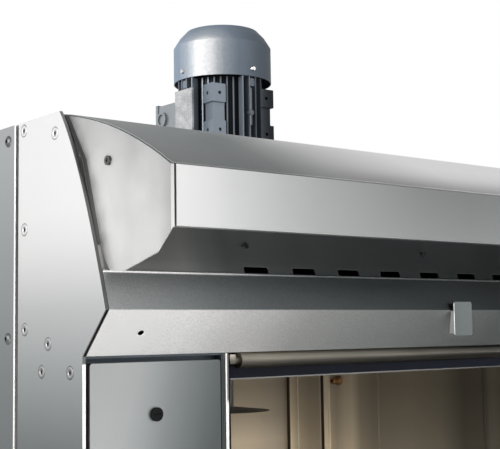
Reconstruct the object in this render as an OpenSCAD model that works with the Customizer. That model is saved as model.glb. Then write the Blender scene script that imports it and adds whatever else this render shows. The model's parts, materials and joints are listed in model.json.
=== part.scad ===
// Compact rotating rack oven with a steam hood over its door.
// Origin: on the floor, under the axis that the hanging rack turns about. The door faces -Y.

/* [Body] */
// Thickness of a side wall, from the chamber to the outer skin
wall_t = 50; // [45:1:60]
// Rack axis to the front of the columns
front_d = 404; // [400:1:412]
// Rack axis to the back panel
back_d = 830; // [810:5:900]
// Floor to the roof
roof_z = 2141; // [2120:1:2170]
// Thickness of the outer and inner sheets
sheet_t = 1.5; // [1:0.1:2]
// Height of the levelling feet
foot_h = 32; // [25:1:40]
// Height of the base frame rails
rail_h = 40; // [30:1:50]
// Rack axis to the gap between the front side plate and the side panel
seam_d = 263; // [250:1:270]
// Width of that gap
seam_w = 7.5; // [4:0.5:9]

/* [Chamber] */
// Edge of the door opening to the chamber's side wall
column_w = 159; // [150:1:170]
// Rack axis to the inner face of the front liner
chamber_front_d = 345; // [338:1:350]
// Rack axis to the fan baffle at the rear
baffle_d = 375; // [368:1:390]
// Depth of the fan space behind the baffle
fan_space_d = 155; // [150:1:170]
// Height of the chamber ceiling over the floor of the room
ceiling_z = 1880; // [1870:1:1900]
// Distance from a side wall to its air guide
guide_gap = 50; // [45:1:60]
// Diameter of the air intake in the baffle
intake_d = 320; // [280:5:340]
// Clear width of the door opening
opening_w = 582; // [570:2:590]
// Drop from the slanted band to the top of the door opening
opening_drop = 32; // [30:0.5:34]

/* [Front] */
// Edge of the door opening to the outer edge of the jamb
jamb_reach = 23; // [21:0.5:24]
// Height of the lower edge of the slanted band
band_z = 1877; // [1874:1:1882]
// Rise of the slanted band
band_rise = 47; // [44:1:50]
// Forward reach of the slanted band
band_reach = 45; // [42:1:48]
// Height of the upright sheet over the band
riser_h = 40; // [36:1:44]
// Length of one steam slot
slot_l = 35; // [28:1:40]
// Distance from slot to slot
slot_pitch = 72.5; // [60:0.5:75]
// Number of steam slots
slot_count = 9; // [5:1:11]
// Drop from the slanted band to the top edge of the column covers
cover_drop = 7.5; // [6:0.5:12]
// Diameter of the drain tube under the band
tube_d = 18.5; // [16:0.5:19]
// Gaps beside a column cover: at the jamb and at the side plate
cover_jamb_gap = 7.5; // [5:0.5:10]
cover_side_gap = 9; // [8:0.5:20]
// Height of the control panel
panel_h = 420; // [380:5:460]
// Height of the middle of the control panel
panel_z = 1240; // [1200:5:1280]

/* [Hood] */
// Forward reach of the hood from the columns
hood_reach = 146; // [130:1:160]
// Height of the fascia
fascia_h = 61; // [50:1:70]
// Drop from the roof to the upper edge of the fascia
fascia_drop = 79; // [70:1:90]
// Swell of the curved top over its chord
hood_bulge = 11; // [8:0.5:14]
// Set-back of an end cap from the side plate
cap_in = 10; // [9:0.5:14]
// Set-back of the fascia's ends from the side plates
fascia_in = 16.5; // [15:0.5:24]

/* [Door] */
// Thickness of the door
door_t = 60; // [55:1:65]
// Gap between the door's edge and the outer edge of the jamb
door_side_gap = 8; // [6:0.5:12]
// Clearance between the drain tube and the door's upper edge
door_top_gap = 2; // [1.5:0.5:5]
// Angle at which the door stands open
door_open = 115; // [95:1:125]
// Width and height of the window
window_w = 300; // [200:5:340]
window_h = 900; // [700:10:1000]
// Diameter of the hinge pins
hinge_pin_d = 12; // [10:0.5:14]

/* [Motor] */
// Diameter of the fan cowl
cowl_d = 157; // [155:1:164]
// Rise of the cowl's lower rim over the roof
cowl_rise = 157; // [150:1:165]
// Height of the cowl's straight part
cowl_h = 57; // [50:1:62]
// Height of the cowl's tapered top
cowl_top_h = 27; // [22:1:32]
// Diameter over the cooling fins
fin_d = 154; // [150:1:155]
// Number of cooling fins
fin_count = 40; // [32:4:40]
// Diameter of the motor shaft
shaft_d = 19; // [17:0.5:20]
// Diameter of the gear housing
gearcase_d = 216; // [212:1:222]

/* [Rotor] */
// Diameter of the rack shaft
rack_shaft_d = 22; // [20:0.5:26]
// Radius of the drip cone over the hook
cone_r = 68; // [60:1:90]
// Height of the drip cone's rim
cone_z = 1777; // [1765:1:1785]
// Teeth of the two pinions
pinion_teeth = 12; // [10:1:12]
// Teeth of the two wheels
wheel_teeth = 48; // [40:4:48]
// Gear module
gear_m = 1.75; // [1.6:0.05:1.75]

/* [Hidden] */

$fn = 64;

// Overrun of every cut
over = 1;
// Clearance between seated pieces
gap = 0.3;
// Radial clearance of a turning fit
fit = 0.06;

// Main planes
liner_x = opening_w / 2 + column_w;
side_x = liner_x + wall_t;
guide_x = liner_x - guide_gap;
jamb_x = opening_w / 2 + jamb_reach;
cover_x0 = jamb_x + cover_jamb_gap;
cover_x1 = side_x - cover_side_gap;
front_y = -front_d;
floor_z = foot_h + rail_h + sheet_t;
liner_y = -chamber_front_d;
baffle_y = baffle_d;
fan_back_y = baffle_d + fan_space_d;
seam_y = -seam_d;
skin_z0 = foot_h + gap;
opening_top_z = band_z - opening_drop;
cover_top_z = band_z - cover_drop;
door_top_z = band_z - tube_d - door_top_gap;
cowl_z0 = roof_z + cowl_rise;
cowl_z1 = cowl_z0 + cowl_h;
cowl_z2 = cowl_z1 + cowl_top_h;

// Depth of a small fold at a sheet's edge
fold = 4;
// Depth of a larger fold
flange = 12;

// Places along a quadratic curve through a to b, drawn towards c
function curve(a, c, b, n) =
  [for (i = [0 : n]) let (t = i / n) (1 - t) * (1 - t) * a + 2 * t * (1 - t) * c + t * t * b];

// The same outline moved back by d
function back_by(points, d) = [for (p = points) p + [d, 0]];

function reverse(list) = [for (i = [len(list) - 1 : -1 : 0]) list[i]];

// Draws an outline given in Y and Z from x0 to x1
module along_x(x0, x1) {
  translate([x0, 0, 0]) rotate([90, 0, 90]) linear_extrude(x1 - x0) children();
}

// Draws an outline given in X and Z from y0 back to y1
module along_y(y0, y1) {
  translate([0, y1, 0]) rotate([90, 0, 0]) linear_extrude(y1 - y0) children();
}

module box(x0, x1, y0, y1, z0, z1) {
  translate([x0, y0, z0]) cube([x1 - x0, y1 - y0, z1 - z0]);
}

module both_sides() {
  children();
  mirror([1, 0, 0]) children();
}

// A cylinder along Y between y0 and y1
module rod_y(x, z, y0, y1, r) {
  translate([x, y0, z]) rotate([-90, 0, 0]) cylinder(r = r, h = y1 - y0);
}

// A cylinder along X between x0 and x1
module rod_x(y, z, x0, x1, r) {
  translate([x0, y, z]) rotate([0, 90, 0]) cylinder(r = r, h = x1 - x0);
}

// Front outline of the side plates, from the roof down
band_low = [front_y, band_z];
band_high = [front_y - band_reach, band_z + band_rise];
edge_top_set = 48;
edge_top = [front_y + edge_top_set, roof_z];
edge_lean_share = 0.33;
edge_swell = 18;
edge_dir = (band_high - edge_top) / norm(band_high - edge_top);
edge_out = [edge_dir[1], -edge_dir[0]];
edge_pull = edge_top + edge_lean_share * (band_high - edge_top) + edge_swell * edge_out;
edge_steps = 16;
edge_curve = curve(edge_top, edge_pull, band_high, edge_steps);

// Height on the front curve as a share of the way
function edge_y(z) = lookup(-z, [for (p = edge_curve) [-p[1], p[0]]]);

riser_top_z = band_high[1] + riser_h;

// Curved top of the hood
fascia_y = front_y - hood_reach;
fascia_z1 = roof_z - fascia_drop;
fascia_z0 = fascia_z1 - fascia_h;
top_back_set = 62;
top_a = [front_y + top_back_set, roof_z];
top_b = [fascia_y, fascia_z1];
top_chord = norm(top_b - top_a);
top_r = (top_chord * top_chord / 4 + hood_bulge * hood_bulge) / (2 * hood_bulge);
top_dir = (top_b - top_a) / top_chord;
top_out = [top_dir[1], -top_dir[0]];
top_mid = (top_a + top_b) / 2 - top_out * (top_r - hood_bulge);
// How far the wedge that cuts the curve reaches past it
wedge_reach = 1.2;

// Base frame: two long rails and four cross rails, one of them under the rack axis
rail_w = 40;
base_in = 3;
base_x = side_x - base_in;
base_y0 = front_y + base_in;
base_y1 = back_d - base_in;
cross_ys = [base_y0, -rail_w / 2, (base_y1 - rail_w) / 2, base_y1 - rail_w];

module base_frame() {
  color("gray") {
    both_sides() box(base_x - rail_w, base_x, base_y0, base_y1, foot_h, foot_h + rail_h);
    for (y = cross_ys)
      box(-base_x + rail_w - over, base_x - rail_w + over, y, y + rail_w, foot_h, foot_h + rail_h);
  }
}

// Levelling feet
foot_r = 22;
foot_pad_h = 10;
foot_stud_r = 8;
foot_in = 60;
foot_x = base_x - rail_w / 2;
foot_front_y = base_y0 + foot_in;
foot_back_y = base_y1 - foot_in;
foot_places = [
  [-foot_x, foot_front_y], [foot_x, foot_front_y], [-foot_x, (foot_front_y + foot_back_y) / 2],
  [foot_x, (foot_front_y + foot_back_y) / 2], [-foot_x, foot_back_y], [foot_x, foot_back_y], [0, 0]
];

module levelling_feet() {
  color("dimgray")
  for (p = foot_places)
    translate([p[0], p[1], 0]) {
      cylinder(r = foot_r, h = foot_pad_h);
      cylinder(r = foot_stud_r, h = foot_h);
    }
}

// Chamber shell
module floor_pan() {
  sill_x = jamb_x - frame_web - gap;
  color("lightgray") {
    box(-liner_x, liner_x, liner_y - frame_web, fan_back_y, floor_z - sheet_t, floor_z);
    // Sill under the door opening
    box(-sill_x, sill_x, front_y + sheet_t, liner_y - frame_web + over, floor_z - sheet_t, floor_z);
  }
}

// Wedge-shaped ramp in front of the opening
ramp_l = 250;
ramp_nose = 3;
ramp_top_z = foot_h + rail_h - gap;

module entry_ramp() {
  color("silver")
    along_x(-opening_w / 2, opening_w / 2)
      polygon([
        [base_y0 - gap, 0],
        [base_y0 - gap, ramp_top_z],
        [front_y - ramp_l, ramp_nose],
        [front_y - ramp_l, 0]
      ]);
}

module chamber_side_walls() {
  color("wheat")
    both_sides() box(liner_x, liner_x + sheet_t, liner_y, fan_back_y, floor_z - sheet_t, ceiling_z);
}

// Fan and its place
fan_z = 1000;
supply_w = 30;
supply_x = liner_x - supply_w;
supply_z0 = 250;
supply_z1 = 1600;
supply_rows = 6;
supply_bridge = 20;

module fan_baffle() {
  supply_step = (supply_z1 - supply_z0) / supply_rows;
  color("wheat")
  difference() {
    box(-liner_x + gap, liner_x - gap, baffle_y, baffle_y + sheet_t, floor_z + gap, ceiling_z - gap);
    rod_y(0, fan_z, baffle_y - over, baffle_y + sheet_t + over, intake_d / 2);
    for (i = [0 : supply_rows - 1])
      both_sides()
        box(supply_x - supply_w, supply_x, baffle_y - over, baffle_y + sheet_t + over,
            supply_z0 + i * supply_step, supply_z0 + (i + 1) * supply_step - supply_bridge);
  }
}

// Holes in the ceiling
shaft_hole_gap = 10;
shaft_hole_r = rack_shaft_d / 2 + shaft_hole_gap;
lamp_r = 32;
lamp_x = -250;
lamp_y = -250;
flue_r = 60;
flue_neck = 0.7;
flue_neck_r = flue_r - flue_neck;
flue_x = 250;
flue_y = baffle_d + fan_space_d / 2;

module chamber_ceiling() {
  color("wheat")
  difference() {
    box(-liner_x - sheet_t, liner_x + sheet_t, liner_y, fan_back_y, ceiling_z, ceiling_z + sheet_t);
    translate([0, 0, ceiling_z - over]) cylinder(r = shaft_hole_r, h = sheet_t + 2 * over);
    translate([lamp_x, lamp_y, ceiling_z - over]) cylinder(r = lamp_r, h = sheet_t + 2 * over);
    translate([flue_x, flue_y, ceiling_z - over])
      cylinder(r = flue_r - flue_t - gap, h = sheet_t + 2 * over);
  }
}

// Back of the fan space, with the hole for the fan shaft
fan_shaft_r = 9.5;
fan_shaft_gap = 6;
fan_shaft_hole_r = fan_shaft_r + fan_shaft_gap;

module fan_space_back() {
  color("wheat")
  difference() {
    box(-liner_x - sheet_t, liner_x + sheet_t, fan_back_y, fan_back_y + sheet_t,
        floor_z - sheet_t, ceiling_z + sheet_t);
    rod_y(0, fan_z, fan_back_y - over, fan_back_y + sheet_t + over, fan_shaft_hole_r);
    heater_terminals(fan_back_y - over, fan_back_y + sheet_t + over, heater_tube_r + gap);
  }
}

// Air guides: upright sheets with air slots and stiffening folds
guide_front_gap = 25;
guide_back_gap = 70;
guide_y0 = liner_y + guide_front_gap;
guide_y1 = baffle_y - guide_back_gap;
guide_z0 = floor_z + gap;
guide_z1 = ceiling_z - gap;
guide_slot_y = 205;
guide_slot_w = 13;
guide_slot_end = 60;
guide_slot_z0 = guide_z0 + guide_slot_end;
guide_slot_z1 = guide_z1 - guide_slot_end / 2;
guide_fold = 3;
guide_hem_w = 23;
guide_lip_w = 14;
guide_joint_y = 62;
guide_joint_w = 3;
guide_bead_y = -181;
guide_step = 9;
// Feet that hold a guide to the side wall
guide_strut_w = 20;

module air_guide() {
  difference() {
    union() {
      box(guide_x, guide_x + sheet_t, guide_bead_y, guide_y1, guide_z0, guide_z1);
      // Front part, set back towards the side wall
      box(guide_x, guide_x + guide_step, guide_bead_y, guide_bead_y + sheet_t, guide_z0, guide_z1);
      box(guide_x + guide_step - sheet_t, guide_x + guide_step, guide_y0, guide_bead_y + sheet_t,
          guide_z0, guide_z1);
      // Folded hem at the rear edge
      box(guide_x - guide_fold, guide_x + over, guide_y1 - guide_hem_w, guide_y1, guide_z0, guide_z1);
      // Lip beside the air slot
      box(guide_x - guide_fold, guide_x + over, guide_slot_y - guide_lip_w, guide_slot_y,
          guide_z0, guide_z1);
      // Standing joint between the two halves of the guide
      box(guide_x - guide_fold, guide_x + over, guide_joint_y - guide_joint_w,
          guide_joint_y, guide_z0, guide_z1);
      // Struts to the side wall, top and bottom
      for (z = [guide_z0, guide_z1 - sheet_t], y = [guide_y0, guide_y1 - guide_strut_w])
        box(guide_x + (y < 0 ? guide_step - over / 2 : over), liner_x - gap, y, y + guide_strut_w,
            z, z + sheet_t);
    }
    box(guide_x - guide_fold - over, guide_x + sheet_t + over, guide_slot_y, guide_slot_y + guide_slot_w,
        guide_slot_z0, guide_slot_z1);
    rod_x(nozzle_y, nozzle_z, guide_x - over, guide_x + sheet_t + over, nozzle_r + gap);
  }
}

module air_guides() {
  color("wheat") both_sides() air_guide();
}

// Insulation slabs between the chamber and the skins
wool_gap = 2;
wool_side_gap = 14;
wool_side_x = side_x - wool_side_gap;
wool_top_t = 80;
wool_top_z = ceiling_z + wool_top_t;
wool_back_t = 82;
wool_back_y = fan_back_y + wool_back_t;
wool_shaft_gap = 20;
wool_shaft_r = shaft_hole_r + wool_shaft_gap;

module insulation() {
  color("khaki") {
    // Sides
    both_sides()
      box(liner_x + sheet_t + gap, wool_side_x, liner_y + gap, wool_back_y, floor_z, ceiling_z);
    // Top
    difference() {
      box(-wool_side_x, wool_side_x, liner_y + gap, wool_back_y, ceiling_z + sheet_t + gap, wool_top_z);
      translate([0, 0, ceiling_z]) cylinder(r = wool_shaft_r, h = wool_top_z);
      translate([lamp_x, lamp_y, ceiling_z]) cylinder(r = lamp_r + wool_gap, h = wool_top_z);
      translate([flue_x, flue_y, ceiling_z]) cylinder(r = flue_r + wool_gap, h = wool_top_z);
    }
    // Back
    difference() {
      box(-liner_x, liner_x, fan_back_y + sheet_t + gap, wool_back_y, floor_z, ceiling_z);
      rod_y(0, fan_z, fan_back_y, wool_back_y + over, fan_pad_r + wool_gap);
      heater_terminals(fan_back_y, wool_back_y + over, heater_tube_r + wool_gap);
    }
    // Front, on both sides of the opening and over it
    both_sides()
      box(opening_w / 2 + frame_web + gap, wool_side_x, land_y + frame_web + gap, liner_y - frame_web - gap,
          floor_z + gap, opening_top_z);
    box(-wool_side_x, wool_side_x, land_y + frame_web + gap, liner_y - frame_web - gap,
        opening_top_z + frame_web + gap, wool_top_z);
    // Floor, in slabs between the cross rails
    for (i = [1 : len(cross_ys) - 1])
      box(-base_x + rail_w + gap, base_x - rail_w - gap, cross_ys[i - 1] + rail_w + gap, cross_ys[i] - gap,
          foot_h + gap, foot_h + rail_h - gap);
  }
}

// Heating elements: rings round the fan wheel, each with two terminals
heater_r = 255;
heater_tube_r = 4.25;
heater_flat = 3.5;
heater_leg_r = 3;
heater_set = 40;
heater_pitch = 26;
heater_rows = 3;
heater_leg = 16;
heater_y0 = baffle_d + heater_set;
// Degrees between neighbouring terminals
heater_spread = 7;

module heater_rod(row, side, y0, y1, r) {
  translate([0, 0, fan_z]) rotate([0, side * heater_spread * (row + 1 / 2), 0])
    rod_y(heater_r + heater_leg, 0, y0, y1, r);
}

module heater_terminals(y0, y1, r) {
  for (i = [0 : heater_rows - 1], s = [-1, 1]) heater_rod(i, s, y0, y1, r);
}

module heating_elements() {
  color("dimgray")
  for (i = [0 : heater_rows - 1]) {
    y = heater_y0 + i * heater_pitch;
    difference() {
      rod_y(0, fan_z, y - heater_flat, y + heater_flat, heater_r + heater_tube_r);
      rod_y(0, fan_z, y - heater_flat - over, y + heater_flat + over, heater_r - heater_tube_r);
    }
    for (s = [-1, 1]) {
      heater_rod(i, s, y - heater_tube_r, wool_back_y, heater_tube_r);
      translate([0, y, fan_z]) rotate([0, s * heater_spread * (i + 1 / 2), 0])
        rod_x(0, 0, heater_r, heater_r + heater_leg, heater_leg_r);
    }
  }
}

// Wire guard in the intake
guard_rings = 5;
guard_wire = 5;
guard_step = intake_d / 2 / guard_rings;

module fan_guard() {
  color("silver") {
    for (i = [1 : guard_rings])
      translate([0, baffle_y - gap, fan_z]) rotate([90, 0, 0])
        difference() {
          cylinder(r = i * guard_step + guard_wire, h = guard_wire);
          translate([0, 0, -over]) cylinder(r = i * guard_step, h = guard_wire + 2 * over);
        }
    for (a = [0, 90])
      translate([0, baffle_y - gap - guard_wire, fan_z]) rotate([0, a, 0])
        translate([-intake_d / 2 - guard_wire, 0, -guard_wire / 2])
          cube([intake_d + 2 * guard_wire, guard_wire, guard_wire]);
  }
}

// Motor of the circulation fan
fan_pad_r = 62;
fan_motor_r = 70;
fan_motor_l = 175;
fan_motor_y0 = wool_back_y + gap;
fan_motor_y1 = fan_motor_y0 + fan_motor_l;

module fan_motor() {
  color("slategray")
  difference() {
    union() {
      rod_y(0, fan_z, fan_back_y + sheet_t + gap, fan_motor_y0 + over, fan_pad_r);
      rod_y(0, fan_z, fan_motor_y0, fan_motor_y1, fan_motor_r);
      for (a = [0 : 30 : 330])
        translate([0, fan_motor_y0, fan_z]) rotate([0, a, 0])
          translate([-fin_t / 2, 0, 0]) cube([fin_t, fan_motor_l * 2 / 3, fan_motor_r + fin_out]);
    }
    rod_y(0, fan_z, fan_back_y, fan_motor_y1 - fan_motor_r / 2, fan_shaft_r + fit);
  }
}

// Posts and rails behind the skins
post_w = 28;
post_x1 = side_x - sheet_t - gap;
post_x0 = post_x1 - post_w;
frame_top_z = roof_z - sheet_t - gap;
frame_rail_h = 30;
mid_post_y = seam_y + seam_w + gap;
rear_post_y1 = back_d - sheet_t - gap;

module body_frame() {
  color("darkgray")
  both_sides() {
    // Rear post
    box(post_x0, post_x1, rear_post_y1 - post_w, rear_post_y1, foot_h + rail_h, frame_top_z);
    // Post behind the gap between the side plate and the side panel
    box(wool_side_x + gap, post_x1, mid_post_y + post_w / 2, mid_post_y + 2 * post_w,
        foot_h + rail_h, frame_top_z);
    // Top rail
    box(post_x0, post_x1, mid_post_y + 2 * post_w - over, rear_post_y1 - post_w + over,
        frame_top_z - frame_rail_h, frame_top_z);
  }
}

// Rear side panels
side_return = 6;

module side_panels() {
  color("silver")
  both_sides() {
    box(side_x - sheet_t, side_x, seam_y + seam_w, back_d, skin_z0, roof_z);
    box(side_x - side_return, side_x - over / 2, seam_y + seam_w, seam_y + seam_w + sheet_t,
        foot_h + rail_h + gap, roof_z - sheet_t - gap);
  }
}

// Back panel with vent slots for the fan motor
vent_w = 160;
vent_h = 6;
vent_pitch = 18;
vent_rows = 7;

module back_panel() {
  color("gainsboro")
  difference() {
    box(-side_x + sheet_t + gap, side_x - sheet_t - gap, back_d - sheet_t, back_d, skin_z0,
        roof_z - sheet_t - gap);
    for (i = [0 : vent_rows - 1])
      box(-vent_w / 2, vent_w / 2, back_d - sheet_t - over, back_d + over,
          fan_z + (i - vent_rows / 2) * vent_pitch, fan_z + (i - vent_rows / 2) * vent_pitch + vent_h);
  }
}

// Roof, with the holes for the gear unit and the flue
gear_hole_r = gearcase_d / 2 + 2;

module roof_panel() {
  color("silver")
  difference() {
    box(-side_x + sheet_t + gap, side_x - sheet_t - gap, top_a[0] + gap, back_d - gap,
        roof_z - sheet_t, roof_z);
    translate([0, 0, roof_z - sheet_t - over]) cylinder(r = gear_hole_r, h = sheet_t + 2 * over);
    translate([flue_x, flue_y, roof_z - sheet_t - over])
      cylinder(r = flue_neck_r + gap, h = sheet_t + 2 * over);
  }
}

// Front side plates, with a fold along the curved edge and along the column
side_edge = concat(edge_curve, [band_low, [front_y, skin_z0]]);
column_edge = [band_low, [front_y, skin_z0]];

module side_fold(edge) {
  along_x(side_x - fold, side_x - sheet_t + over / 2)
    polygon(concat(edge, reverse(back_by(edge, sheet_t))));
}

module front_side_plate() {
  along_x(side_x - sheet_t, side_x)
    polygon(concat(side_edge, [[seam_y, skin_z0], [seam_y, roof_z]]));
  side_fold(edge_curve);
  side_fold(column_edge);
}

module front_side_plates() {
  color("whitesmoke") both_sides() front_side_plate();
}

// Screws of the side: countersunk in the front plate, domed in the side panel.
// Each place is given as its distance in front of the rack axis and under the roof.
plate_screws = [[275.5, 10], [346.5, 23], [277.5, 123], [279, 235], [332, 251], [318, 281], [379, 281]];
panel_screws = [[237.6, 17], [239, 245]];
low_screw_step = 400;
low_screws = 4;
sunk_r = 6.5;
dome_r = 7;
dome_h = 3;
screw_proud = 0.4;
socket_r = 2;
socket_h = 1;

module sunk_screw(y, z) {
  difference() {
    rod_x(y, z, side_x, side_x + screw_proud, sunk_r);
    rod_x(y, z, side_x + screw_proud / 4, side_x + screw_proud + over, socket_r);
  }
}

module dome_screw(y, z) {
  difference() {
    translate([side_x, y, z]) rotate([0, 90, 0])
      intersection() {
        translate([0, 0, dome_h - dome_ball_r]) sphere(r = dome_ball_r);
        cylinder(r = dome_r, h = dome_h);
      }
    rod_x(y, z, side_x + dome_h - socket_h, side_x + dome_h + over, socket_r);
  }
}

// Radius of the ball whose cap is dome_h high and dome_r wide
dome_ball_r = (dome_r * dome_r + dome_h * dome_h) / (2 * dome_h);

module side_screws() {
  color("gray")
  both_sides() {
    for (p = plate_screws) sunk_screw(-p[0], roof_z - p[1]);
    for (p = panel_screws) dome_screw(-p[0], roof_z - p[1]);
    for (i = [1 : low_screws]) {
      sunk_screw(-plate_screws[3][0], roof_z - plate_screws[3][1] - i * low_screw_step);
      dome_screw(-panel_screws[1][0], roof_z - panel_screws[1][1] - i * low_screw_step);
    }
  }
}

// Column posts: open channels that carry the covers and the side plates
post_web = 2;
post_d = 17;
post_set = 5;
post_drop = 0.5;
post_back_y = front_y + post_d;
post_wall_y = front_y + post_set;
post_z0 = foot_h + rail_h + gap;
post_z1 = band_z - post_drop;

module column_post() {
  // Web against the side plate
  box(side_x - fold - gap - post_web, side_x - fold - gap, post_wall_y, seam_y - over, post_z0, post_z1);
  // Back of the channel
  box(jamb_x + gap, side_x - fold - gap, post_back_y, post_back_y + post_web, post_z0, post_z1);
  // Wall beside the door jamb
  box(jamb_x + gap, jamb_x + gap + post_web, post_wall_y, post_back_y + over, post_z0, post_z1);
  // Ledge over the cover
  box(jamb_x + gap, side_x - fold - gap, post_wall_y, post_back_y + over, post_z1 - post_web, post_z1);
}

module column_posts() {
  color("darkgray") both_sides() column_post();
}

// Column covers: trays with rounded front corners
cover_r = 3;
cover_gap = 3;
cover_depth = post_d - gap;
cover_low_z = post_z0 + cover_gap;
panel_z0 = panel_z - panel_h / 2;
panel_z1 = panel_z + panel_h / 2;
lock_r = 7.5;
lock_stem_r = 5;
lock_head = 2.5;
lock_in = 56;
lock_off = 2.75;
lock_x = -(cover_x0 + cover_x1) / 2 - lock_off;

// Rounded rectangle in X and Z
module round_rect(x0, x1, z0, z1, r) {
  translate([x0 + r, z0]) square([x1 - x0 - 2 * r, z1 - z0]);
  translate([x0, z0 + r]) square([x1 - x0, z1 - z0 - 2 * r]);
  for (x = [x0 + r, x1 - r], z = [z0 + r, z1 - r]) translate([x, z]) circle(r = r, $fn = 32);
}

module cover_tray(x0, x1, z0, z1) {
  difference() {
    along_y(front_y, front_y + cover_depth) round_rect(x0, x1, z0, z1, cover_r);
    box(x0 + sheet_t, x1 - sheet_t, front_y + sheet_t, front_y + cover_depth + over,
        z0 + sheet_t, z1 - sheet_t);
  }
}

module left_cover() {
  color("silver")
  difference() {
    cover_tray(-cover_x1, -cover_x0, panel_z1 + cover_gap, cover_top_z);
    for (z = [cover_top_z - lock_in, panel_z1 + cover_gap + lock_in])
      rod_y(lock_x, z, front_y - over, front_y + sheet_t + over, lock_stem_r + fit);
  }
}

module plain_covers() {
  color("silver") {
    cover_tray(-cover_x1, -cover_x0, cover_low_z, panel_z0 - cover_gap);
    cover_tray(cover_x0, cover_x1, cover_low_z, cover_top_z);
  }
}

// Quarter-turn locks of the left cover
lock_stem_l = 12;
lock_tongue_l = 14;
lock_tongue_w = 6;
lock_tongue_t = 2;
lock_slot_w = 1.6;
lock_slot_l = 9;

module quarter_turn(z) {
  color("black") {
    difference() {
      rod_y(lock_x, z, front_y - gap - lock_head, front_y - gap, lock_r);
      box(lock_x - lock_slot_l / 2, lock_x + lock_slot_l / 2, front_y - gap - lock_head - over,
          front_y - gap - lock_head / 2, z - lock_slot_w / 2, z + lock_slot_w / 2);
    }
    rod_y(lock_x, z, front_y - gap - over, front_y + lock_stem_l, lock_stem_r);
    box(lock_x - lock_tongue_l, lock_x + lock_tongue_w / 2, front_y + lock_stem_l - lock_tongue_t,
        front_y + lock_stem_l, z - lock_tongue_w / 2, z + lock_tongue_w / 2);
  }
}

module quarter_turn_upper() { quarter_turn(cover_top_z - lock_in); }
module quarter_turn_lower() { quarter_turn(panel_z1 + cover_gap + lock_in); }

// Control panel in the left column
display_w = 110;
display_h = 70;
display_z = panel_z + panel_h / 4;
display_rise = 1;
knob_drop = 10;
knob_z = panel_z - knob_drop;
knob_r = 22;
knob_h = 18;
knob_stem_r = 3;
knob_pointer_w = 2.5;
button_r = 11;
button_rise = 4;
button_z = panel_z - panel_h / 3;
button_dx = 30;
panel_mid_x = -(cover_x0 + cover_x1) / 2;
bezel_w = 4;
bezel_r = button_r + bezel_w;
bezel_h = 2;

module control_panel() {
  color("dimgray") {
    difference() {
      cover_tray(-cover_x1, -cover_x0, panel_z0, panel_z1);
      rod_y(panel_mid_x, knob_z, front_y - over, front_y + sheet_t + over, knob_stem_r + fit);
      for (s = [-1, 1])
        rod_y(panel_mid_x + s * button_dx, button_z, front_y - over, front_y + sheet_t + over,
              button_r + fit);
    }
    // Display window
    along_y(front_y - display_rise, front_y + over)
      round_rect(panel_mid_x - display_w / 2, panel_mid_x + display_w / 2,
                 display_z - display_h / 2, display_z + display_h / 2, cover_r);
    // Rings round the buttons
    for (s = [-1, 1])
      difference() {
        rod_y(panel_mid_x + s * button_dx, button_z, front_y - bezel_h, front_y + over / 2, bezel_r);
        rod_y(panel_mid_x + s * button_dx, button_z, front_y - bezel_h - over, front_y + sheet_t + over,
              button_r + fit);
      }
  }
}

module selector_knob() {
  color("black") {
    rod_y(panel_mid_x, knob_z, front_y - knob_h, front_y - gap, knob_r);
    rod_y(panel_mid_x, knob_z, front_y - gap - over, front_y + cover_depth / 2, knob_stem_r);
    box(panel_mid_x - knob_pointer_w / 2, panel_mid_x + knob_pointer_w / 2,
        front_y - knob_h - over, front_y - knob_h + over, knob_z, knob_z + knob_r * 3 / 4);
  }
}

module push_button(s) {
  rod_y(panel_mid_x + s * button_dx, button_z, front_y - button_rise - bezel_h, front_y + cover_depth / 2,
        button_r);
}

module start_button() { color("green") push_button(-1); }
module stop_button() { color("red") push_button(1); }

// Door frame: jambs, header and sill round the opening, with the liner's front
land_d = 22;
land_y = front_y + land_d;
frame_web = 2;
lip_w = 4;
header_z = band_z - frame_web;
sill_z = floor_z;

// Striker on the left jamb, with a lip that the latch turns behind
striker_h = 60;
striker_t = 6;
striker_lap = 12;

module door_frame() {
  striker_y = latch_y - striker_t - latch_gap;
  color("silver") {
    // Jambs: lip, web and land
    both_sides() {
      box(jamb_x - lip_w, jamb_x, front_y, front_y + frame_web, sill_z, post_z1);
      box(jamb_x - frame_web, jamb_x, front_y, land_y + frame_web, sill_z, post_z1);
      box(opening_w / 2, jamb_x, land_y, land_y + frame_web, sill_z, header_z);
      box(opening_w / 2, opening_w / 2 + frame_web, land_y, liner_y, sill_z, opening_top_z + frame_web);
    }
    // Header land and return
    box(-jamb_x, jamb_x, land_y, land_y + frame_web, opening_top_z, header_z);
    box(-opening_w / 2 - frame_web, opening_w / 2 + frame_web, land_y, liner_y,
        opening_top_z, opening_top_z + frame_web);
    // Front liner of the chamber
    difference() {
      box(-liner_x + gap, liner_x - gap, liner_y - frame_web, liner_y,
          sill_z, ceiling_z - gap);
      box(-opening_w / 2, opening_w / 2, liner_y - frame_web - over, liner_y + over,
          sill_z - over, opening_top_z);
    }
    // Striker
    box(-jamb_x, -jamb_x + lip_w, striker_y, front_y + over, handle_z - striker_h / 2,
        handle_z + striker_h / 2);
    box(-jamb_x, -jamb_x + lip_w + striker_lap, striker_y, striker_y + striker_t,
        handle_z - striker_h / 2, handle_z + striker_h / 2);
  }
}

// Gasket round the opening
gasket_t = 3.5;
gasket_w = 14;
gasket_edge = 2;
gasket_y1 = land_y - gap / 2;

module door_gasket() {
  inner_x = opening_w / 2 + gasket_edge;
  inner_z = opening_top_z + gasket_edge;
  color("midnightblue") {
    both_sides() box(inner_x, inner_x + gasket_w, gasket_y1 - gasket_t, gasket_y1, sill_z + gap, inner_z);
    box(-inner_x - gasket_w, inner_x + gasket_w, gasket_y1 - gasket_t, gasket_y1, inner_z,
        inner_z + gasket_w);
  }
}

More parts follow.
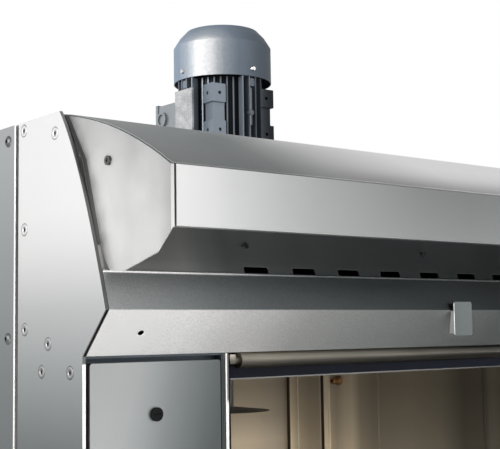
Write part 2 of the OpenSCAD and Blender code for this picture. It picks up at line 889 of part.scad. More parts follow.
// Drain tube along the header, under the band, with an end block on each side
tube_r = tube_d / 2;
tube_set = 0.5;
tube_y = front_y + tube_r - tube_set;
tube_z = band_z - tube_r - gap / 2;
block_w = 8;
block_d = 14;
block_h = 10.5;
block_set = 2;
block_gap = 2.5;
tube_pin_l = 4;
tube_pin_r = 3;
block_x1 = jamb_x - lip_w - tube_pin_l;
tube_neck_l = 8;
tube_neck_r = 4.5;
tube_end_x = block_x1 - block_w - tube_neck_l;

module header_tube() {
  color("rosybrown") {
    rod_x(tube_y, tube_z, -tube_end_x, tube_end_x, tube_r);
    both_sides() {
      rod_x(tube_y, tube_z, tube_end_x - over, block_x1, tube_neck_r);
      box(block_x1 - block_w, block_x1, front_y + block_set, front_y + block_set + block_d,
          band_z - block_gap - block_h, band_z - block_gap);
      rod_x(tube_y, tube_z, block_x1 - over, jamb_x - frame_web - gap, tube_pin_r);
    }
  }
}

// Slotted wall: follows the side plates' curve from the riser to the roof
wall_set = 3;
wall_lap = 10;
slot_h = 11;
slot_r = 2.5;
slot_low = 2;
wall_x = side_x - fold - gap;
wall_drop = 12;
wall_z1 = roof_z - wall_drop;
wall_steps = 8;
wall_line = [
  for (i = [0 : wall_steps])
    let (z = riser_top_z - wall_lap + i * (wall_z1 - riser_top_z + wall_lap) / wall_steps)
      [edge_y(z) + wall_set, z]
];

// Cutter for one slot, seen from the front
module slot_shape(x) {
  round_rect(x - slot_l / 2, x + slot_l / 2, riser_top_z - slot_low,
      riser_top_z - slot_low + slot_h, slot_r);
}

module slotted_wall() {
  color("dimgray")
  difference() {
    along_x(-wall_x, wall_x) polygon(concat(wall_line, reverse(back_by(wall_line, sheet_t))));
    for (i = [0 : slot_count - 1])
      along_y(edge_y(riser_top_z) - wall_lap, edge_y(riser_top_z) + wall_lap + flange)
        slot_shape((i - (slot_count - 1) / 2) * slot_pitch);
  }
}

// Front band: riser sheet, slanted band and the fold under it
riser_back = edge_y(riser_top_z);

// Front of the upright sheet at a height
function riser_y(z) = band_high[0] + (riser_back - band_high[0]) * (z - band_high[1]) / riser_h;

// Front of the slanted band at a height
function band_y(z) = band_high[0] + (band_high[1] - z) * band_reach / band_rise;

band_side_gap = 4.7;
hem_r = 1.6;
band_hole_in = 57;
band_hole_x = band_hole_in - side_x;
band_hole_r = 3.4;

module front_band() {
  outline = [[riser_back, riser_top_z], band_high, band_low, band_low + [flange, 0]];
  inner = [
    [riser_back + sheet_t, riser_top_z],
    band_high + [sheet_t, sheet_t / 4],
    band_low + [sheet_t, sheet_t],
    band_low + [flange, sheet_t]
  ];
  color("lightgray") {
    difference() {
      along_x(-side_x + band_side_gap, side_x - band_side_gap) polygon(concat(outline, reverse(inner)));
      // Hole square to the slanted face, flared behind it
      translate([band_hole_x, (band_low[0] + band_high[0]) / 2, (band_low[1] + band_high[1]) / 2])
        rotate([atan2(band_reach, band_rise) - 90, 0, 0]) {
          translate([0, 0, -flange]) cylinder(r = band_hole_r, h = flange + gap);
          cylinder(r1 = band_hole_r, r2 = band_hole_r + 2 * flange, h = flange);
        }
    }
    // Rolled hem along the upper edge
    rod_x(riser_back + hem_r / 2, riser_top_z, -side_x + band_side_gap, side_x - band_side_gap, hem_r);
  }
}

// Curved top of the hood
top_in = cap_in + sheet_t + gap;

module hood_arc(drop) {
  intersection() {
    translate(top_mid) circle(r = top_r - drop, $fn = 360);
    polygon([top_mid, top_mid + wedge_reach * (top_a - top_mid),
        top_mid + wedge_reach * (top_b - top_mid)]);
  }
}

module hood_top() {
  color("gray")
    along_x(-side_x + top_in, side_x - top_in)
      difference() {
        hood_arc(0);
        translate(top_mid) circle(r = top_r - sheet_t, $fn = 360);
      }
}

// Fascia with its lower return
module hood_fascia() {
  color("white") {
    box(-side_x + fascia_in, side_x - fascia_in, fascia_y, fascia_y + sheet_t, fascia_z0,
        fascia_z1 - sheet_t);
    box(-side_x + fascia_in, side_x - fascia_in, fascia_y, fascia_y + flange, fascia_z0,
        fascia_z0 + sheet_t);
    both_sides()
      box(side_x - fascia_in - sheet_t, side_x - fascia_in, fascia_y, fascia_y + flange,
          fascia_z0, fascia_z1 - 2 * sheet_t);
  }
}

// End caps: plates that close the hood's sides, with a fold along the front
cap_drop = 1.8;
cap_fold = 4;
// Outline of a cap from its lower front corner: back from the fascia, down from the roof
cap_edge = [[0, 143], [24, 164], [84, 179], [108, 177], [117, 167], [126, 149], [155, 58], [195, 0]];
// Rear edge of the outline and the flange along it
cap_rear = [for (i = [5 : 7]) [fascia_y + cap_edge[i][0], roof_z - cap_edge[i][1]]];
cap_flange_in = 5;
// Lug that carries a cap on the slotted wall
cap_lug_w = 14;
cap_lug_drop = 18;
cap_lug_h = 30;

module cap_outline() {
  difference() {
    intersection() {
      translate(top_mid) circle(r = top_r - cap_drop, $fn = 360);
      polygon(concat([[fascia_y, roof_z]], [for (p = cap_edge) [fascia_y + p[0], roof_z - p[1]]]));
    }
    polygon(concat(back_by(wall_line, -gap), reverse(back_by(wall_line, hood_reach))));
  }
}

// Outline between the slotted wall's face and a line in front of it
module lug_outline(depth) {
  z1 = roof_z - cap_lug_drop;
  z0 = z1 - cap_lug_h;
  y1 = edge_y(z1) + wall_set - 2 * gap;
  y0 = edge_y(z0) + wall_set - 2 * gap;
  polygon([[y0, z0], [y1, z1], [y1 - depth, z1], [y0 - depth, z0]]);
}

module hood_end_caps() {
  cap_x = side_x - cap_in - sheet_t;
  color("lightgray")
  both_sides() {
    along_x(cap_x, cap_x + sheet_t) {
      cap_outline();
      lug_outline(cap_lug_w);
    }
    along_x(cap_x - cap_lug_w, cap_x + over / 2) lug_outline(sheet_t);
    // Narrow flange along the rear edge, towards the side plate
    along_x(cap_x, side_x - cap_flange_in)
      intersection() {
        cap_outline();
        polygon(concat(cap_rear, reverse(back_by(cap_rear, -sheet_t))));
      }
    box(side_x - cap_in - cap_fold, cap_x + over / 2, fascia_y, fascia_y + sheet_t,
        roof_z - cap_edge[0][1] + sheet_t, fascia_z1 - cap_drop);
  }
}

// Screws of the hood: one in each end cap, three in the slotted wall
cap_screw_back = 110;
cap_screw_drop = 64;
cap_screw_r = 5;
cap_screw_h = 2.5;
wall_screw_dx = 298;
wall_screw_rise = 33;
wall_screw_r = 4;
wall_screw_h = 2;

module cap_screw() {
  y = fascia_y + cap_screw_back;
  z = roof_z - cap_screw_drop;
  x = side_x - cap_in;
  difference() {
    rod_x(y, z, x, x + cap_screw_h, cap_screw_r);
    rod_x(y, z, x + cap_screw_h - socket_h, x + cap_screw_h + over, socket_r);
  }
}

module wall_screw(x) {
  z = riser_top_z + wall_screw_rise;
  y = edge_y(z) + wall_set;
  // Slope of the wall where the screw sits
  dz = 2 * wall_screw_r;
  dy = edge_y(z + wall_screw_r) - edge_y(z - wall_screw_r);
  translate([x, y, z]) rotate([atan2(dz, dy), 0, 0])
    difference() {
      cylinder(r = wall_screw_r, h = wall_screw_h);
      translate([0, 0, wall_screw_h - socket_h]) cylinder(r = socket_r, h = socket_h + over);
    }
}

module hood_screws() {
  color("dimgray") {
    both_sides() cap_screw();
    for (i = [-1 : 1]) wall_screw(i * wall_screw_dx);
  }
}

// Small bracket hung on the band's upper edge
tab_x = 20.5;
tab_w = 35;
tab_rise = 14;
tab_h = 44;
tab_z0 = band_z + tab_rise;
tab_z1 = tab_z0 + tab_h;
tab_side = 7;
tab_side_drop = 12;
tab_side_z1 = tab_z1 - tab_side_drop;
tab_out = 3;
tab_y = band_high[0] - tab_out;
tab_r = 3;
tab_root_z = tab_z1 - tab_r - sheet_t;

module band_bracket() {
  color("silver") {
    along_y(tab_y - sheet_t, tab_y) round_rect(tab_x, tab_x + tab_w, tab_z0, tab_z1, tab_r);
    // Side flange, clear of the slanted band
    along_x(tab_x, tab_x + sheet_t)
      polygon([
        [tab_y - over / 2, tab_z0 + tab_r],
        [tab_y + tab_side, tab_z0 + tab_r],
        [min(tab_y + tab_side, band_y(tab_side_z1) - gap), tab_side_z1],
        [tab_y - over / 2, tab_side_z1]
      ]);
    // Root that reaches back to the riser
    box(tab_x + tab_r, tab_x + tab_w - tab_r, tab_y - over / 2, riser_y(tab_root_z) - gap,
        tab_root_z, tab_root_z + sheet_t);
  }
}

// Gear housing under the motor, hung in the roof
gearcase_drop = 137;
gearcase_rise = 20;
gearcase_wall = 6;
gearcase_lip = 16;
gearcase_flange_t = 8;
gearcase_z0 = roof_z - gearcase_drop;
gearcase_top_z = roof_z + gearcase_rise;
gearcase_flange_r = gearcase_d / 2 + gearcase_lip;
rack_bearing_wall = 12;
rack_bearing_r = rack_shaft_d / 2 + rack_bearing_wall;
rack_bearing_h = 20;
gearcase_bolts = 6;
gearcase_bolt_r = 6;
gearcase_bolt_h = 5;

module gear_housing() {
  color("slategray")
  difference() {
    union() {
      translate([0, 0, gearcase_z0]) cylinder(r = gearcase_d / 2, h = gearcase_top_z - gearcase_z0);
      translate([0, 0, roof_z]) cylinder(r = gearcase_flange_r, h = gearcase_flange_t);
      translate([0, 0, gearcase_z0 - rack_bearing_h])
        cylinder(r = rack_bearing_r, h = rack_bearing_h + over);
      // Heads of the flange bolts
      for (i = [0 : gearcase_bolts - 1])
        rotate([0, 0, (i + 1 / 2) * 360 / gearcase_bolts])
          translate([gearcase_flange_r - gearcase_lip / 2, 0, roof_z + gearcase_flange_t - over])
            cylinder(r = gearcase_bolt_r, h = gearcase_bolt_h + over, $fn = 6);
    }
    translate([0, 0, gearcase_z0 + gearcase_wall])
      cylinder(r = gearcase_d / 2 - gearcase_wall, h = gearcase_top_z - gearcase_z0 - 2 * gearcase_wall);
    translate([0, 0, gearcase_z0 - rack_bearing_h - over])
      cylinder(r = rack_shaft_d / 2 + fit, h = rack_bearing_h + gearcase_wall + 2 * over);
    translate([0, 0, gearcase_top_z - gearcase_wall - over])
      cylinder(r = shaft_d / 2 + fit, h = gearcase_wall + 2 * over);
    translate([gear_centre, 0, gearcase_z0 + gearcase_wall - lay_seat])
      cylinder(r = lay_r + fit, h = lay_seat + over);
    translate([gear_centre, 0, gearcase_top_z - gearcase_wall - over])
      cylinder(r = lay_r + fit, h = lay_seat + over);
  }
}

// Gear pairs: teeth with a straight flank and some backlash
gear_centre = gear_m * (pinion_teeth + wheel_teeth) / 2;
lay_r = 8;
lay_seat = 4;
stage_w = 16;
stage_lift = 14;
stage_space = 46;
stage_out_z = gearcase_z0 + gearcase_wall + stage_lift;
stage_in_z = stage_out_z + stage_w + stage_space;
tooth_low_share = 1.25;
tooth_tip_share = 0.9;
tooth_root_width_share = 0.52;
tooth_tip_width_share = 0.22;

// One gear outline with a tooth standing on the +X axis when turn is 0
module gear(teeth, turn) {
  r = gear_m * teeth / 2;
  r_low = r - tooth_low_share * gear_m;
  r_tip = r + tooth_tip_share * gear_m;
  pitch = PI * gear_m;
  union() {
    circle(r = r_low, $fn = 4 * teeth);
    for (i = [0 : teeth - 1])
      rotate(turn + i * 360 / teeth)
        polygon([
          [r_low - gear_m / 2, -pitch * tooth_root_width_share / 2],
          [r_tip, -pitch * tooth_tip_width_share / 2],
          [r_tip, pitch * tooth_tip_width_share / 2],
          [r_low - gear_m / 2, pitch * tooth_root_width_share / 2]
        ]);
  }
}

// Shaft of the roof motor, with its pinion and rotor
rotor_r = 36;
rotor_l = 60;
rotor_lift = 30;
shaft_rise = 8;
// Neck over the pinion
neck_r = 7;
neck_l = 4;
motor_z0 = gearcase_top_z;
stator_z0 = motor_z0 + rotor_lift;
shaft_top_z = cowl_z1 + shaft_rise;

module motor_shaft() {
  color("lightsteelblue") {
    translate([0, 0, stage_in_z]) linear_extrude(stage_w) gear(pinion_teeth, 0);
    translate([0, 0, stage_in_z + stage_w - over]) cylinder(r = neck_r, h = neck_l + 2 * over);
    translate([0, 0, stage_in_z + stage_w + neck_l])
      cylinder(r = shaft_d / 2, h = shaft_top_z - stage_in_z - stage_w - neck_l);
    translate([0, 0, stator_z0 + over]) cylinder(r = rotor_r, h = rotor_l);
  }
}

module layshaft() {
  color("lightsteelblue")
  translate([gear_centre, 0, 0]) {
    translate([0, 0, gearcase_z0 + gearcase_wall - lay_seat + gap])
      cylinder(r = lay_r,
          h = gearcase_top_z - gearcase_z0 - 2 * gearcase_wall + 2 * lay_seat - 2 * gap - over);
    translate([0, 0, stage_in_z]) linear_extrude(stage_w) gear(wheel_teeth, 180 + 180 / wheel_teeth);
    translate([0, 0, stage_out_z]) linear_extrude(stage_w) gear(pinion_teeth, 180 + 180 / pinion_teeth);
  }
}

// Rack shaft with the output wheel
cone_seat = 3;
shaft_end = 10;
thrust_wall = 6;
rack_shaft_z0 = cone_z + cone_seat;
rack_shaft_z1 = stage_out_z + stage_w + shaft_end;
thrust_r = rack_shaft_d / 2 + thrust_wall;

module rack_shaft() {
  color("lightsteelblue") {
    translate([0, 0, rack_shaft_z0]) cylinder(r = rack_shaft_d / 2, h = rack_shaft_z1 - rack_shaft_z0);
    translate([0, 0, stage_out_z]) linear_extrude(stage_w) gear(wheel_teeth, 0);
    translate([0, 0, gearcase_z0 + gearcase_wall + gap])
      cylinder(r = thrust_r, h = stage_out_z - gearcase_z0 - gearcase_wall);
  }
}

// Hook for the rack, under a shallow drip cone
cone_h = 6;
cone_wall = 2;
hook_t = 10;
hook_w = 56;
hook_h = 86;
hook_seat_r = 11;
hook_seat_drop = 56;
hook_mouth_rise = 12;
hook_mouth_h = 22;
// Degrees that the hook stands turned from the door's plane
hook_turn = 52;

// Space that the rack's bar comes in by and rests in
module hook_mouth() {
  z = cone_z - hook_seat_drop;
  rod_y(0, z, -hook_t, hook_t, hook_seat_r);
  box(-hook_seat_r, hook_seat_r, -hook_t, hook_t, z, z + hook_mouth_rise + hook_mouth_h);
  box(0, hook_w, -hook_t, hook_t, z + hook_mouth_rise, z + hook_mouth_rise + hook_mouth_h);
}

module rack_hook() {
  color("gray") {
    // Drip cone with a socket for the shaft
    difference() {
      translate([0, 0, cone_z]) cylinder(r1 = cone_r, r2 = rack_shaft_d / 2 + cone_wall, h = cone_h);
      translate([0, 0, rack_shaft_z0]) cylinder(r = rack_shaft_d / 2, h = cone_h + over);
    }
    // Hook plate, open to one side over its seat
    rotate([0, 0, hook_turn])
      difference() {
        box(-hook_w / 2, hook_w / 2, -hook_t / 2, hook_t / 2, cone_z - hook_h, cone_z + over);
        hook_mouth();
      }
  }
}

// Roof motor: finned housing with foot pads on its corners
fin_t = 2.3;
fin_out = 16;
// Fins beside the foot pads are lower, so that the pads stand free
fin_low_r = 64;
fin_low_angle = 24;
housing_r = fin_d / 2 - fin_out;
housing_lap = 12;
housing_z1 = cowl_z0 + housing_lap;
flange_r = 100;
flange_t = 12;
pad_out = 58.5;
pad_w = 25;
// Degrees that the pads are turned against the fins
pad_turn = -4;
// Corners that carry pads: all but the one beside the terminal box
pad_corners = [0, 180, 270];
pad_h = 29;
pad_drop = 42;
pad_step = 58;
pad_z = [cowl_z0 - pad_drop, cowl_z0 - pad_drop - pad_step];
pad_hole_r = 2.75;
pad_hole_in = 14;
pad_hole_depth = 12;
pad_rib_set = 4;
boss_r = 6.5;
boss_drop = 9;
bump_x = -4.5;
bump_r = 4.2;
bump_bar_r = 2.1;
bump_y = -fin_d / 2;
bump_drop = 78;
bump_l = 58;
bump_mid = 20;
bump_z0 = cowl_z0 - bump_drop;

// Radius of a fin's tip at an angle
function fin_tip(a) = abs(a % 90 - 45) < fin_low_angle ? fin_low_r : fin_d / 2;

module pad_block(z) {
  difference() {
    translate([pad_out - pad_w, pad_out - pad_w, z]) cube([pad_w, pad_w, pad_h]);
    translate([pad_out - pad_hole_in, pad_out + over, z + pad_h / 2]) rotate([90, 0, 0])
      cylinder(r = pad_hole_r, h = pad_hole_depth);
    translate([pad_out + over, pad_out - pad_hole_in, z + pad_h / 2]) rotate([0, -90, 0])
      cylinder(r = pad_hole_r, h = pad_hole_depth);
  }
}

module motor_housing() {
  color("slategray") {
    difference() {
      union() {
        translate([0, 0, motor_z0 + gap]) cylinder(r = flange_r, h = flange_t);
        translate([0, 0, motor_z0 + gap]) cylinder(r = housing_r, h = housing_z1 - motor_z0 - gap);
        for (i = [0 : fin_count - 1])
          let (a = (i + 0.5) * 360 / fin_count, r = fin_tip(a))
            rotate([0, 0, a])
              translate([housing_r - over, -fin_t / 2, motor_z0 + flange_t])
                cube([r - housing_r + over, fin_t, cowl_z0 - motor_z0 - flange_t - gap]);
        for (a = pad_corners, z = pad_z) rotate([0, 0, a + pad_turn]) pad_block(z);
        // Recessed rib that joins each pair of pads
        for (a = pad_corners)
          rotate([0, 0, a + pad_turn])
            translate([pad_out - pad_w, pad_out - pad_w, pad_z[1] + over])
              cube([pad_w - pad_rib_set, pad_w - pad_rib_set, pad_step]);
        // Bosses that take the screws of the cowl
        for (a = [0 : 90 : 270])
          rotate([0, 0, a])
            translate([housing_r - over, 0, cowl_z0 - boss_drop]) rotate([0, 90, 0])
              cylinder(r = boss_r, h = fin_out);
        // Rod with a bump on the front face
        translate([bump_x, bump_y, bump_z0]) cylinder(r = bump_bar_r, h = bump_l);
        rod_y(bump_x, bump_z0 + bump_mid, bump_y - bump_bar_r - over / 2, bump_y + fin_out / 2, bump_r);
        rod_y(bump_x, bump_z0 + bump_l - over, bump_y - over / 2, bump_y + fin_out / 2,
            bump_bar_r + over / 2);
      }
      translate([0, 0, stator_z0]) cylinder(r = rotor_r + gap, h = rotor_l + 2 * over);
      translate([0, 0, motor_z0 - over]) cylinder(r = shaft_d / 2 + fit, h = housing_z1);
      // Seat of the nameplate
      box(-fin_d / 2 - over, -fin_d / 2 + plate_seat, plate_dy - plate_w / 2, plate_dy + plate_w / 2,
          plate_z0 - gap, plate_z0 + plate_h + gap);
      // Seat of the terminal box
      box(-term_w / 2 - gap, term_w / 2 + gap, housing_r, fin_d / 2 + over, term_z0 - gap,
          term_z0 + term_h + gap);
    }
  }
}

// Nameplate: a bare plate across the fins
plate_w = 45;
plate_h = 69;
plate_dy = 1.5;
plate_drop = 86;
plate_z0 = cowl_z0 - plate_drop;
plate_rise = 0.5;
plate_seat = 4;

module nameplate() {
  color("silver")
    box(-fin_d / 2 - plate_rise, -fin_d / 2 + plate_seat - gap, plate_dy - plate_w / 2 + gap,
        plate_dy + plate_w / 2 - gap, plate_z0, plate_z0 + plate_h);
}

// Cowl over the motor's fan
cowl_t = 1.5;
cowl_top_r = 58;
// How far the shoulder swells over a straight taper
cowl_swell = 1.2;
cowl_vents = 12;
cowl_vent_r = 5;

cowl_lug = 6;

module motor_cowl() {
  cowl_r = cowl_d / 2;
  swell = [cowl_swell, cowl_swell];
  mid = ([cowl_r, cowl_z1] + [cowl_top_r, cowl_z2]) / 2 + swell;
  color("slategray") {
    difference() {
      rotate_extrude()
        polygon([
          [cowl_r - cowl_t, cowl_z0], [cowl_r, cowl_z0], [cowl_r, cowl_z1], mid, [cowl_top_r, cowl_z2],
          [0, cowl_z2], [0, cowl_z2 - cowl_t], [cowl_top_r - cowl_t, cowl_z2 - cowl_t],
          mid - [cowl_t, cowl_t / 2], [cowl_r - cowl_t, cowl_z1]
        ]);
      for (ring = [1, 2], i = [0 : cowl_vents * ring / 2 - 1])
        rotate([0, 0, i * 720 / cowl_vents / ring])
          translate([ring * cowl_top_r / 3, 0, cowl_z2 - cowl_t - over])
            cylinder(r = cowl_vent_r, h = cowl_t + 2 * over);
    }
    // Lugs that carry the cowl on the housing's end
    for (a = [0 : 90 : 270])
      rotate([0, 0, a])
        box(housing_r + gap, cowl_r - cowl_t / 2, -cowl_lug, cowl_lug, cowl_z0, cowl_z0 + cowl_lug);
  }
}

// Screws of the cowl
cowl_screw_rise = 12;
cowl_screw_z = cowl_z0 + cowl_screw_rise;
cowl_screw_r = 4.5;
cowl_screw_h = 3;

module cowl_screws() {
  color("white")
  for (a = [0 : 90 : 270])
    rotate([0, 0, a]) translate([cowl_d / 2, 0, cowl_screw_z]) rotate([0, 90, 0])
      cylinder(r1 = cowl_screw_r, r2 = cowl_screw_r * 2 / 3, h = cowl_screw_h);
}

// Terminal box behind the motor, with its plug
term_w = 80;
term_h = 72;
term_d = 130;
term_drop = 92;
term_z0 = cowl_z0 - term_drop;
lid_t = 6;
lid_lap = 2;
plug_r = 12.5;
plug_bore = 9;
plug_bore_d = 3;
plug_out = 4;
plug_back = 18;
plug_y = term_d - plug_back;
plug_rise = 48;

module terminal_box() {
  color("slategray") {
    box(-term_w / 2, term_w / 2, housing_r + gap, term_d - lid_t + over, term_z0, term_z0 + term_h);
    box(-term_w / 2 - lid_lap, term_w / 2 + lid_lap, term_d - lid_t, term_d,
        term_z0 - lid_lap, term_z0 + term_h + lid_lap);
    // Cable gland
    difference() {
      rod_x(plug_y, term_z0 + plug_rise, -term_w / 2 - plug_out, -term_w / 2 + over, plug_r);
      rod_x(plug_y, term_z0 + plug_rise, -term_w / 2 - plug_out - over,
          -term_w / 2 - plug_out + plug_bore_d, plug_bore);
    }
  }
}

// Fan on the motor shaft, under the cowl
blade_count = 7;
blade_t = 2;
motor_fan_gap = 12;
motor_fan_r = cowl_d / 2 - motor_fan_gap;
motor_fan_h = 26;
motor_fan_lift = 6;
motor_fan_z = housing_z1 + motor_fan_lift;
motor_fan_hub_r = 18;

module motor_fan() {
  color("dimgray")
  difference() {
    union() {
      translate([0, 0, motor_fan_z]) cylinder(r = motor_fan_hub_r, h = motor_fan_h);
      translate([0, 0, motor_fan_z]) cylinder(r = motor_fan_r * 3 / 4, h = blade_t);
      for (i = [0 : blade_count - 1])
        rotate([0, 0, i * 360 / blade_count])
          translate([motor_fan_hub_r - over, -blade_t / 2, motor_fan_z])
            cube([motor_fan_r - motor_fan_hub_r, blade_t, motor_fan_h]);
    }
    translate([0, 0, motor_fan_z - over]) cylinder(r = shaft_d / 2, h = motor_fan_h + 2 * over);
  }
}

// Flue collar behind the roof motor, through the insulation
flue_t = 1.5;
flue_h = 110;
flue_z0 = ceiling_z + sheet_t + gap;
flue_top_z = roof_z + flue_h;
// Length of the spigot that a flue pipe slides over
spigot_l = 56;
damper_lift = 34;
damper_z = roof_z + damper_lift;
damper_pin_r = 4;

module flue_collar() {
  color("silver")
  difference() {
    translate([flue_x, flue_y, 0]) {
      translate([0, 0, flue_z0]) cylinder(r = flue_neck_r, h = flue_top_z - flue_z0);
      translate([0, 0, flue_top_z - spigot_l]) cylinder(r = flue_r, h = spigot_l);
    }
    translate([flue_x, flue_y, flue_z0 - over])
      cylinder(r = flue_r - flue_t, h = flue_top_z - flue_z0 + 2 * over);
    rod_x(flue_y, damper_z, flue_x - flue_r - over, flue_x + flue_r + over, damper_pin_r + fit);
  }
}

damper_gap = 1.5;
damper_t = 2;
damper_lever = 45;
damper_pin_out = 14;

module flue_damper() {
  color("gray") {
    translate([flue_x, flue_y, damper_z - damper_t / 2])
      cylinder(r = flue_r - flue_t - damper_gap, h = damper_t);
    rod_x(flue_y, damper_z, flue_x - flue_r - damper_pin_out,
        flue_x + flue_r + damper_pin_out, damper_pin_r);
    box(flue_x + flue_r + damper_pin_out / 2, flue_x + flue_r + damper_pin_out, flue_y - damper_lever,
        flue_y + damper_pin_r, damper_z - damper_pin_r, damper_z + damper_pin_r);
  }
}

// Steam nozzle on the right air guide
nozzle_y = 162;
nozzle_z = 1805;
nozzle_r = 6;
nozzle_hex_r = 9;
nozzle_hex_l = 9;
nozzle_out = 21;
nozzle_mouth_r = 3.5;
nozzle_mouth_l = 8;

module steam_nozzle() {
  color("peru")
  difference() {
    union() {
      rod_x(nozzle_y, nozzle_z, guide_x - nozzle_out, liner_x - gap, nozzle_r);
      translate([guide_x - gap - nozzle_hex_l, nozzle_y, nozzle_z]) rotate([0, 90, 0])
        cylinder(r = nozzle_hex_r, h = nozzle_hex_l, $fn = 6);
    }
    rod_x(nozzle_y, nozzle_z, guide_x - nozzle_out - over,
        guide_x - nozzle_out + nozzle_mouth_l, nozzle_mouth_r);
  }
}

// Lamp in the ceiling
lamp_h = 60;
lamp_rim = 8;
lamp_glass_h = 10;

module chamber_lamp() {
  color("ivory") {
    translate([lamp_x, lamp_y, ceiling_z - gap]) cylinder(r = lamp_r - gap, h = lamp_h);
    translate([lamp_x, lamp_y, ceiling_z - gap - lamp_glass_h])
      cylinder(r = lamp_r + lamp_rim, h = lamp_glass_h);
  }
}

// Circulation fan wheel on its shaft
wheel_r = 190;
wheel_front_gap = 30;
wheel_back_gap = 35;
wheel_y0 = baffle_y + wheel_front_gap;
wheel_y1 = fan_back_y - wheel_back_gap;
wheel_plate = 2.5;
wheel_blades = 8;
wheel_hub_r = 30;
wheel_eye_share = 0.6;
wheel_blade_in_share = 0.45;
wheel_blade_share = 0.5;
wheel_blade_lean = 35;

module fan_wheel() {
  color("silver") {
    rod_y(0, fan_z, wheel_y1 - wheel_plate, wheel_y1, wheel_r);
    difference() {
      rod_y(0, fan_z, wheel_y0, wheel_y0 + wheel_plate, wheel_r);
      rod_y(0, fan_z, wheel_y0 - over, wheel_y0 + wheel_plate + over, wheel_r * wheel_eye_share);
    }
    rod_y(0, fan_z, wheel_y1 - wheel_hub_r, wheel_y1, wheel_hub_r);
    for (i = [0 : wheel_blades - 1])
      translate([0, wheel_y0 + wheel_plate / 2, fan_z]) rotate([0, i * 360 / wheel_blades, 0])
        translate([wheel_r * wheel_blade_in_share, 0, 0]) rotate([0, wheel_blade_lean, 0])
          cube([wheel_r * wheel_blade_share, wheel_y1 - wheel_y0 - wheel_plate, wheel_plate]);
    rod_y(0, fan_z, wheel_y1 - wheel_hub_r / 2, fan_motor_y1 - fan_motor_r / 2 - gap, fan_shaft_r);
  }
}

// Door, drawn shut and turned open about its hinge line
door_x1 = jamb_x - door_side_gap;
door_x0 = -door_x1;
door_gap = 0.5;
door_y1 = gasket_y1 - gasket_t - door_gap;
door_y0 = door_y1 - door_t;
door_sill_gap = 6;
door_z0 = floor_z + door_sill_gap;
knuckle_wall = 5;
knuckle_r = hinge_pin_d / 2 + knuckle_wall;
hinge_gap = 5;
hinge_in = 18;
hinge_x = door_x1 + knuckle_r + hinge_gap;
hinge_y = door_y0 + hinge_in;
window_z = 1150;
window_frame = 14;
glass_t = 5;

module opened() {
  translate([hinge_x, hinge_y, 0]) rotate([0, 0, door_open]) translate([-hinge_x, -hinge_y, 0]) children();
}

// Window cut through the door's sheets
module window_cut(y0, y1, edge) {
  box(-window_w / 2 - edge, window_w / 2 + edge, y0, y1, window_z - window_h / 2 - edge,
      window_z + window_h / 2 + edge);
}

knuckle_h = 60;
hinge_end = 180;
hinge_zs = [door_z0 + hinge_end, door_top_z - hinge_end - knuckle_h];
leaf_t = 4;
leaf_l = 70;

module door_outer() {
  color("silver")
  opened() {
    difference() {
      box(door_x0, door_x1, door_y0, door_y1 - sheet_t - gap, door_z0, door_top_z);
      box(door_x0 + sheet_t, door_x1 - sheet_t, door_y0 + sheet_t, door_y1,
          door_z0 + sheet_t, door_top_z - sheet_t);
      window_cut(door_y0 - over, door_y1, 0);
      rod_y(handle_x, handle_z, door_y0 - over, door_y1, handle_stem_r + fit);
    }
    // Hinge leaves and knuckles, bored for the pins
    for (z = hinge_zs)
      difference() {
        union() {
          box(door_x1 - leaf_l, hinge_x, door_y0 - leaf_t, door_y0 + over / 4, z, z + knuckle_h);
          translate([hinge_x, hinge_y, z]) cylinder(r = knuckle_r, h = knuckle_h);
          box(hinge_x - leaf_t, hinge_x, door_y0 - leaf_t, hinge_y, z, z + knuckle_h);
        }
        translate([hinge_x, hinge_y, z - over])
          cylinder(r = hinge_pin_d / 2 + fit, h = knuckle_h + 2 * over);
      }
  }
}

module door_inner() {
  color("lightgray")
  opened()
    difference() {
      box(door_x0, door_x1, door_y1 - sheet_t, door_y1, door_z0, door_top_z);
      window_cut(door_y1 - sheet_t - over, door_y1 + over, 0);
    }
}

module door_core() {
  color("khaki")
  opened()
    difference() {
      box(door_x0 + sheet_t + gap, door_x1 - sheet_t - gap, door_y0 + sheet_t + gap,
          door_y1 - sheet_t - gap,
          door_z0 + sheet_t + gap, door_top_z - sheet_t - gap);
      window_cut(door_y0, door_y1, window_frame);
      rod_y(handle_x, handle_z, door_y0, door_y1, handle_stem_r + over);
    }
}

// Two panes with an air gap
module door_glass() {
  color([0.6, 0.8, 0.85, 0.4])
  opened()
    for (y = [door_y0 + sheet_t + gap, door_y1 - sheet_t - gap - glass_t])
      box(-window_w / 2 - window_frame + gap, window_w / 2 + window_frame - gap, y, y + glass_t,
          window_z - window_h / 2 - window_frame + gap, window_z + window_h / 2 + window_frame - gap);
}

// Lever handle: shown unlatched, with the lever level and its latch pointing down
handle_in = 38;
handle_x = door_x0 + handle_in;
handle_z = 1050;
handle_stem_r = 8;
handle_hub_r = 20;
handle_hub_h = 22;
handle_l = 170;
handle_w = 24;
handle_out = 40;
handle_t = 14;
latch_l = 40;
latch_w = 14;
latch_t = 6;
latch_gap = 3;
latch_y = door_y0 - leaf_t - latch_t;

module door_handle() {
  color("dimgray")
  opened() {
    rod_y(handle_x, handle_z, door_y0 - handle_hub_h, door_y0 - gap, handle_hub_r);
    rod_y(handle_x, handle_z, door_y0 - handle_out, door_y0 - handle_hub_h + over, handle_hub_r * 3 / 4);
    rod_y(handle_x, handle_z, door_y0 - gap - over, door_y0 + sheet_t + handle_stem_r, handle_stem_r);
    box(handle_x, handle_x + handle_l, door_y0 - handle_out, door_y0 - handle_out + handle_t,
        handle_z - handle_w / 2, handle_z + handle_w / 2);
    box(handle_x - latch_w / 2, handle_x + latch_w / 2, latch_y, latch_y + latch_t,
        handle_z - latch_l, handle_z);
  }
}

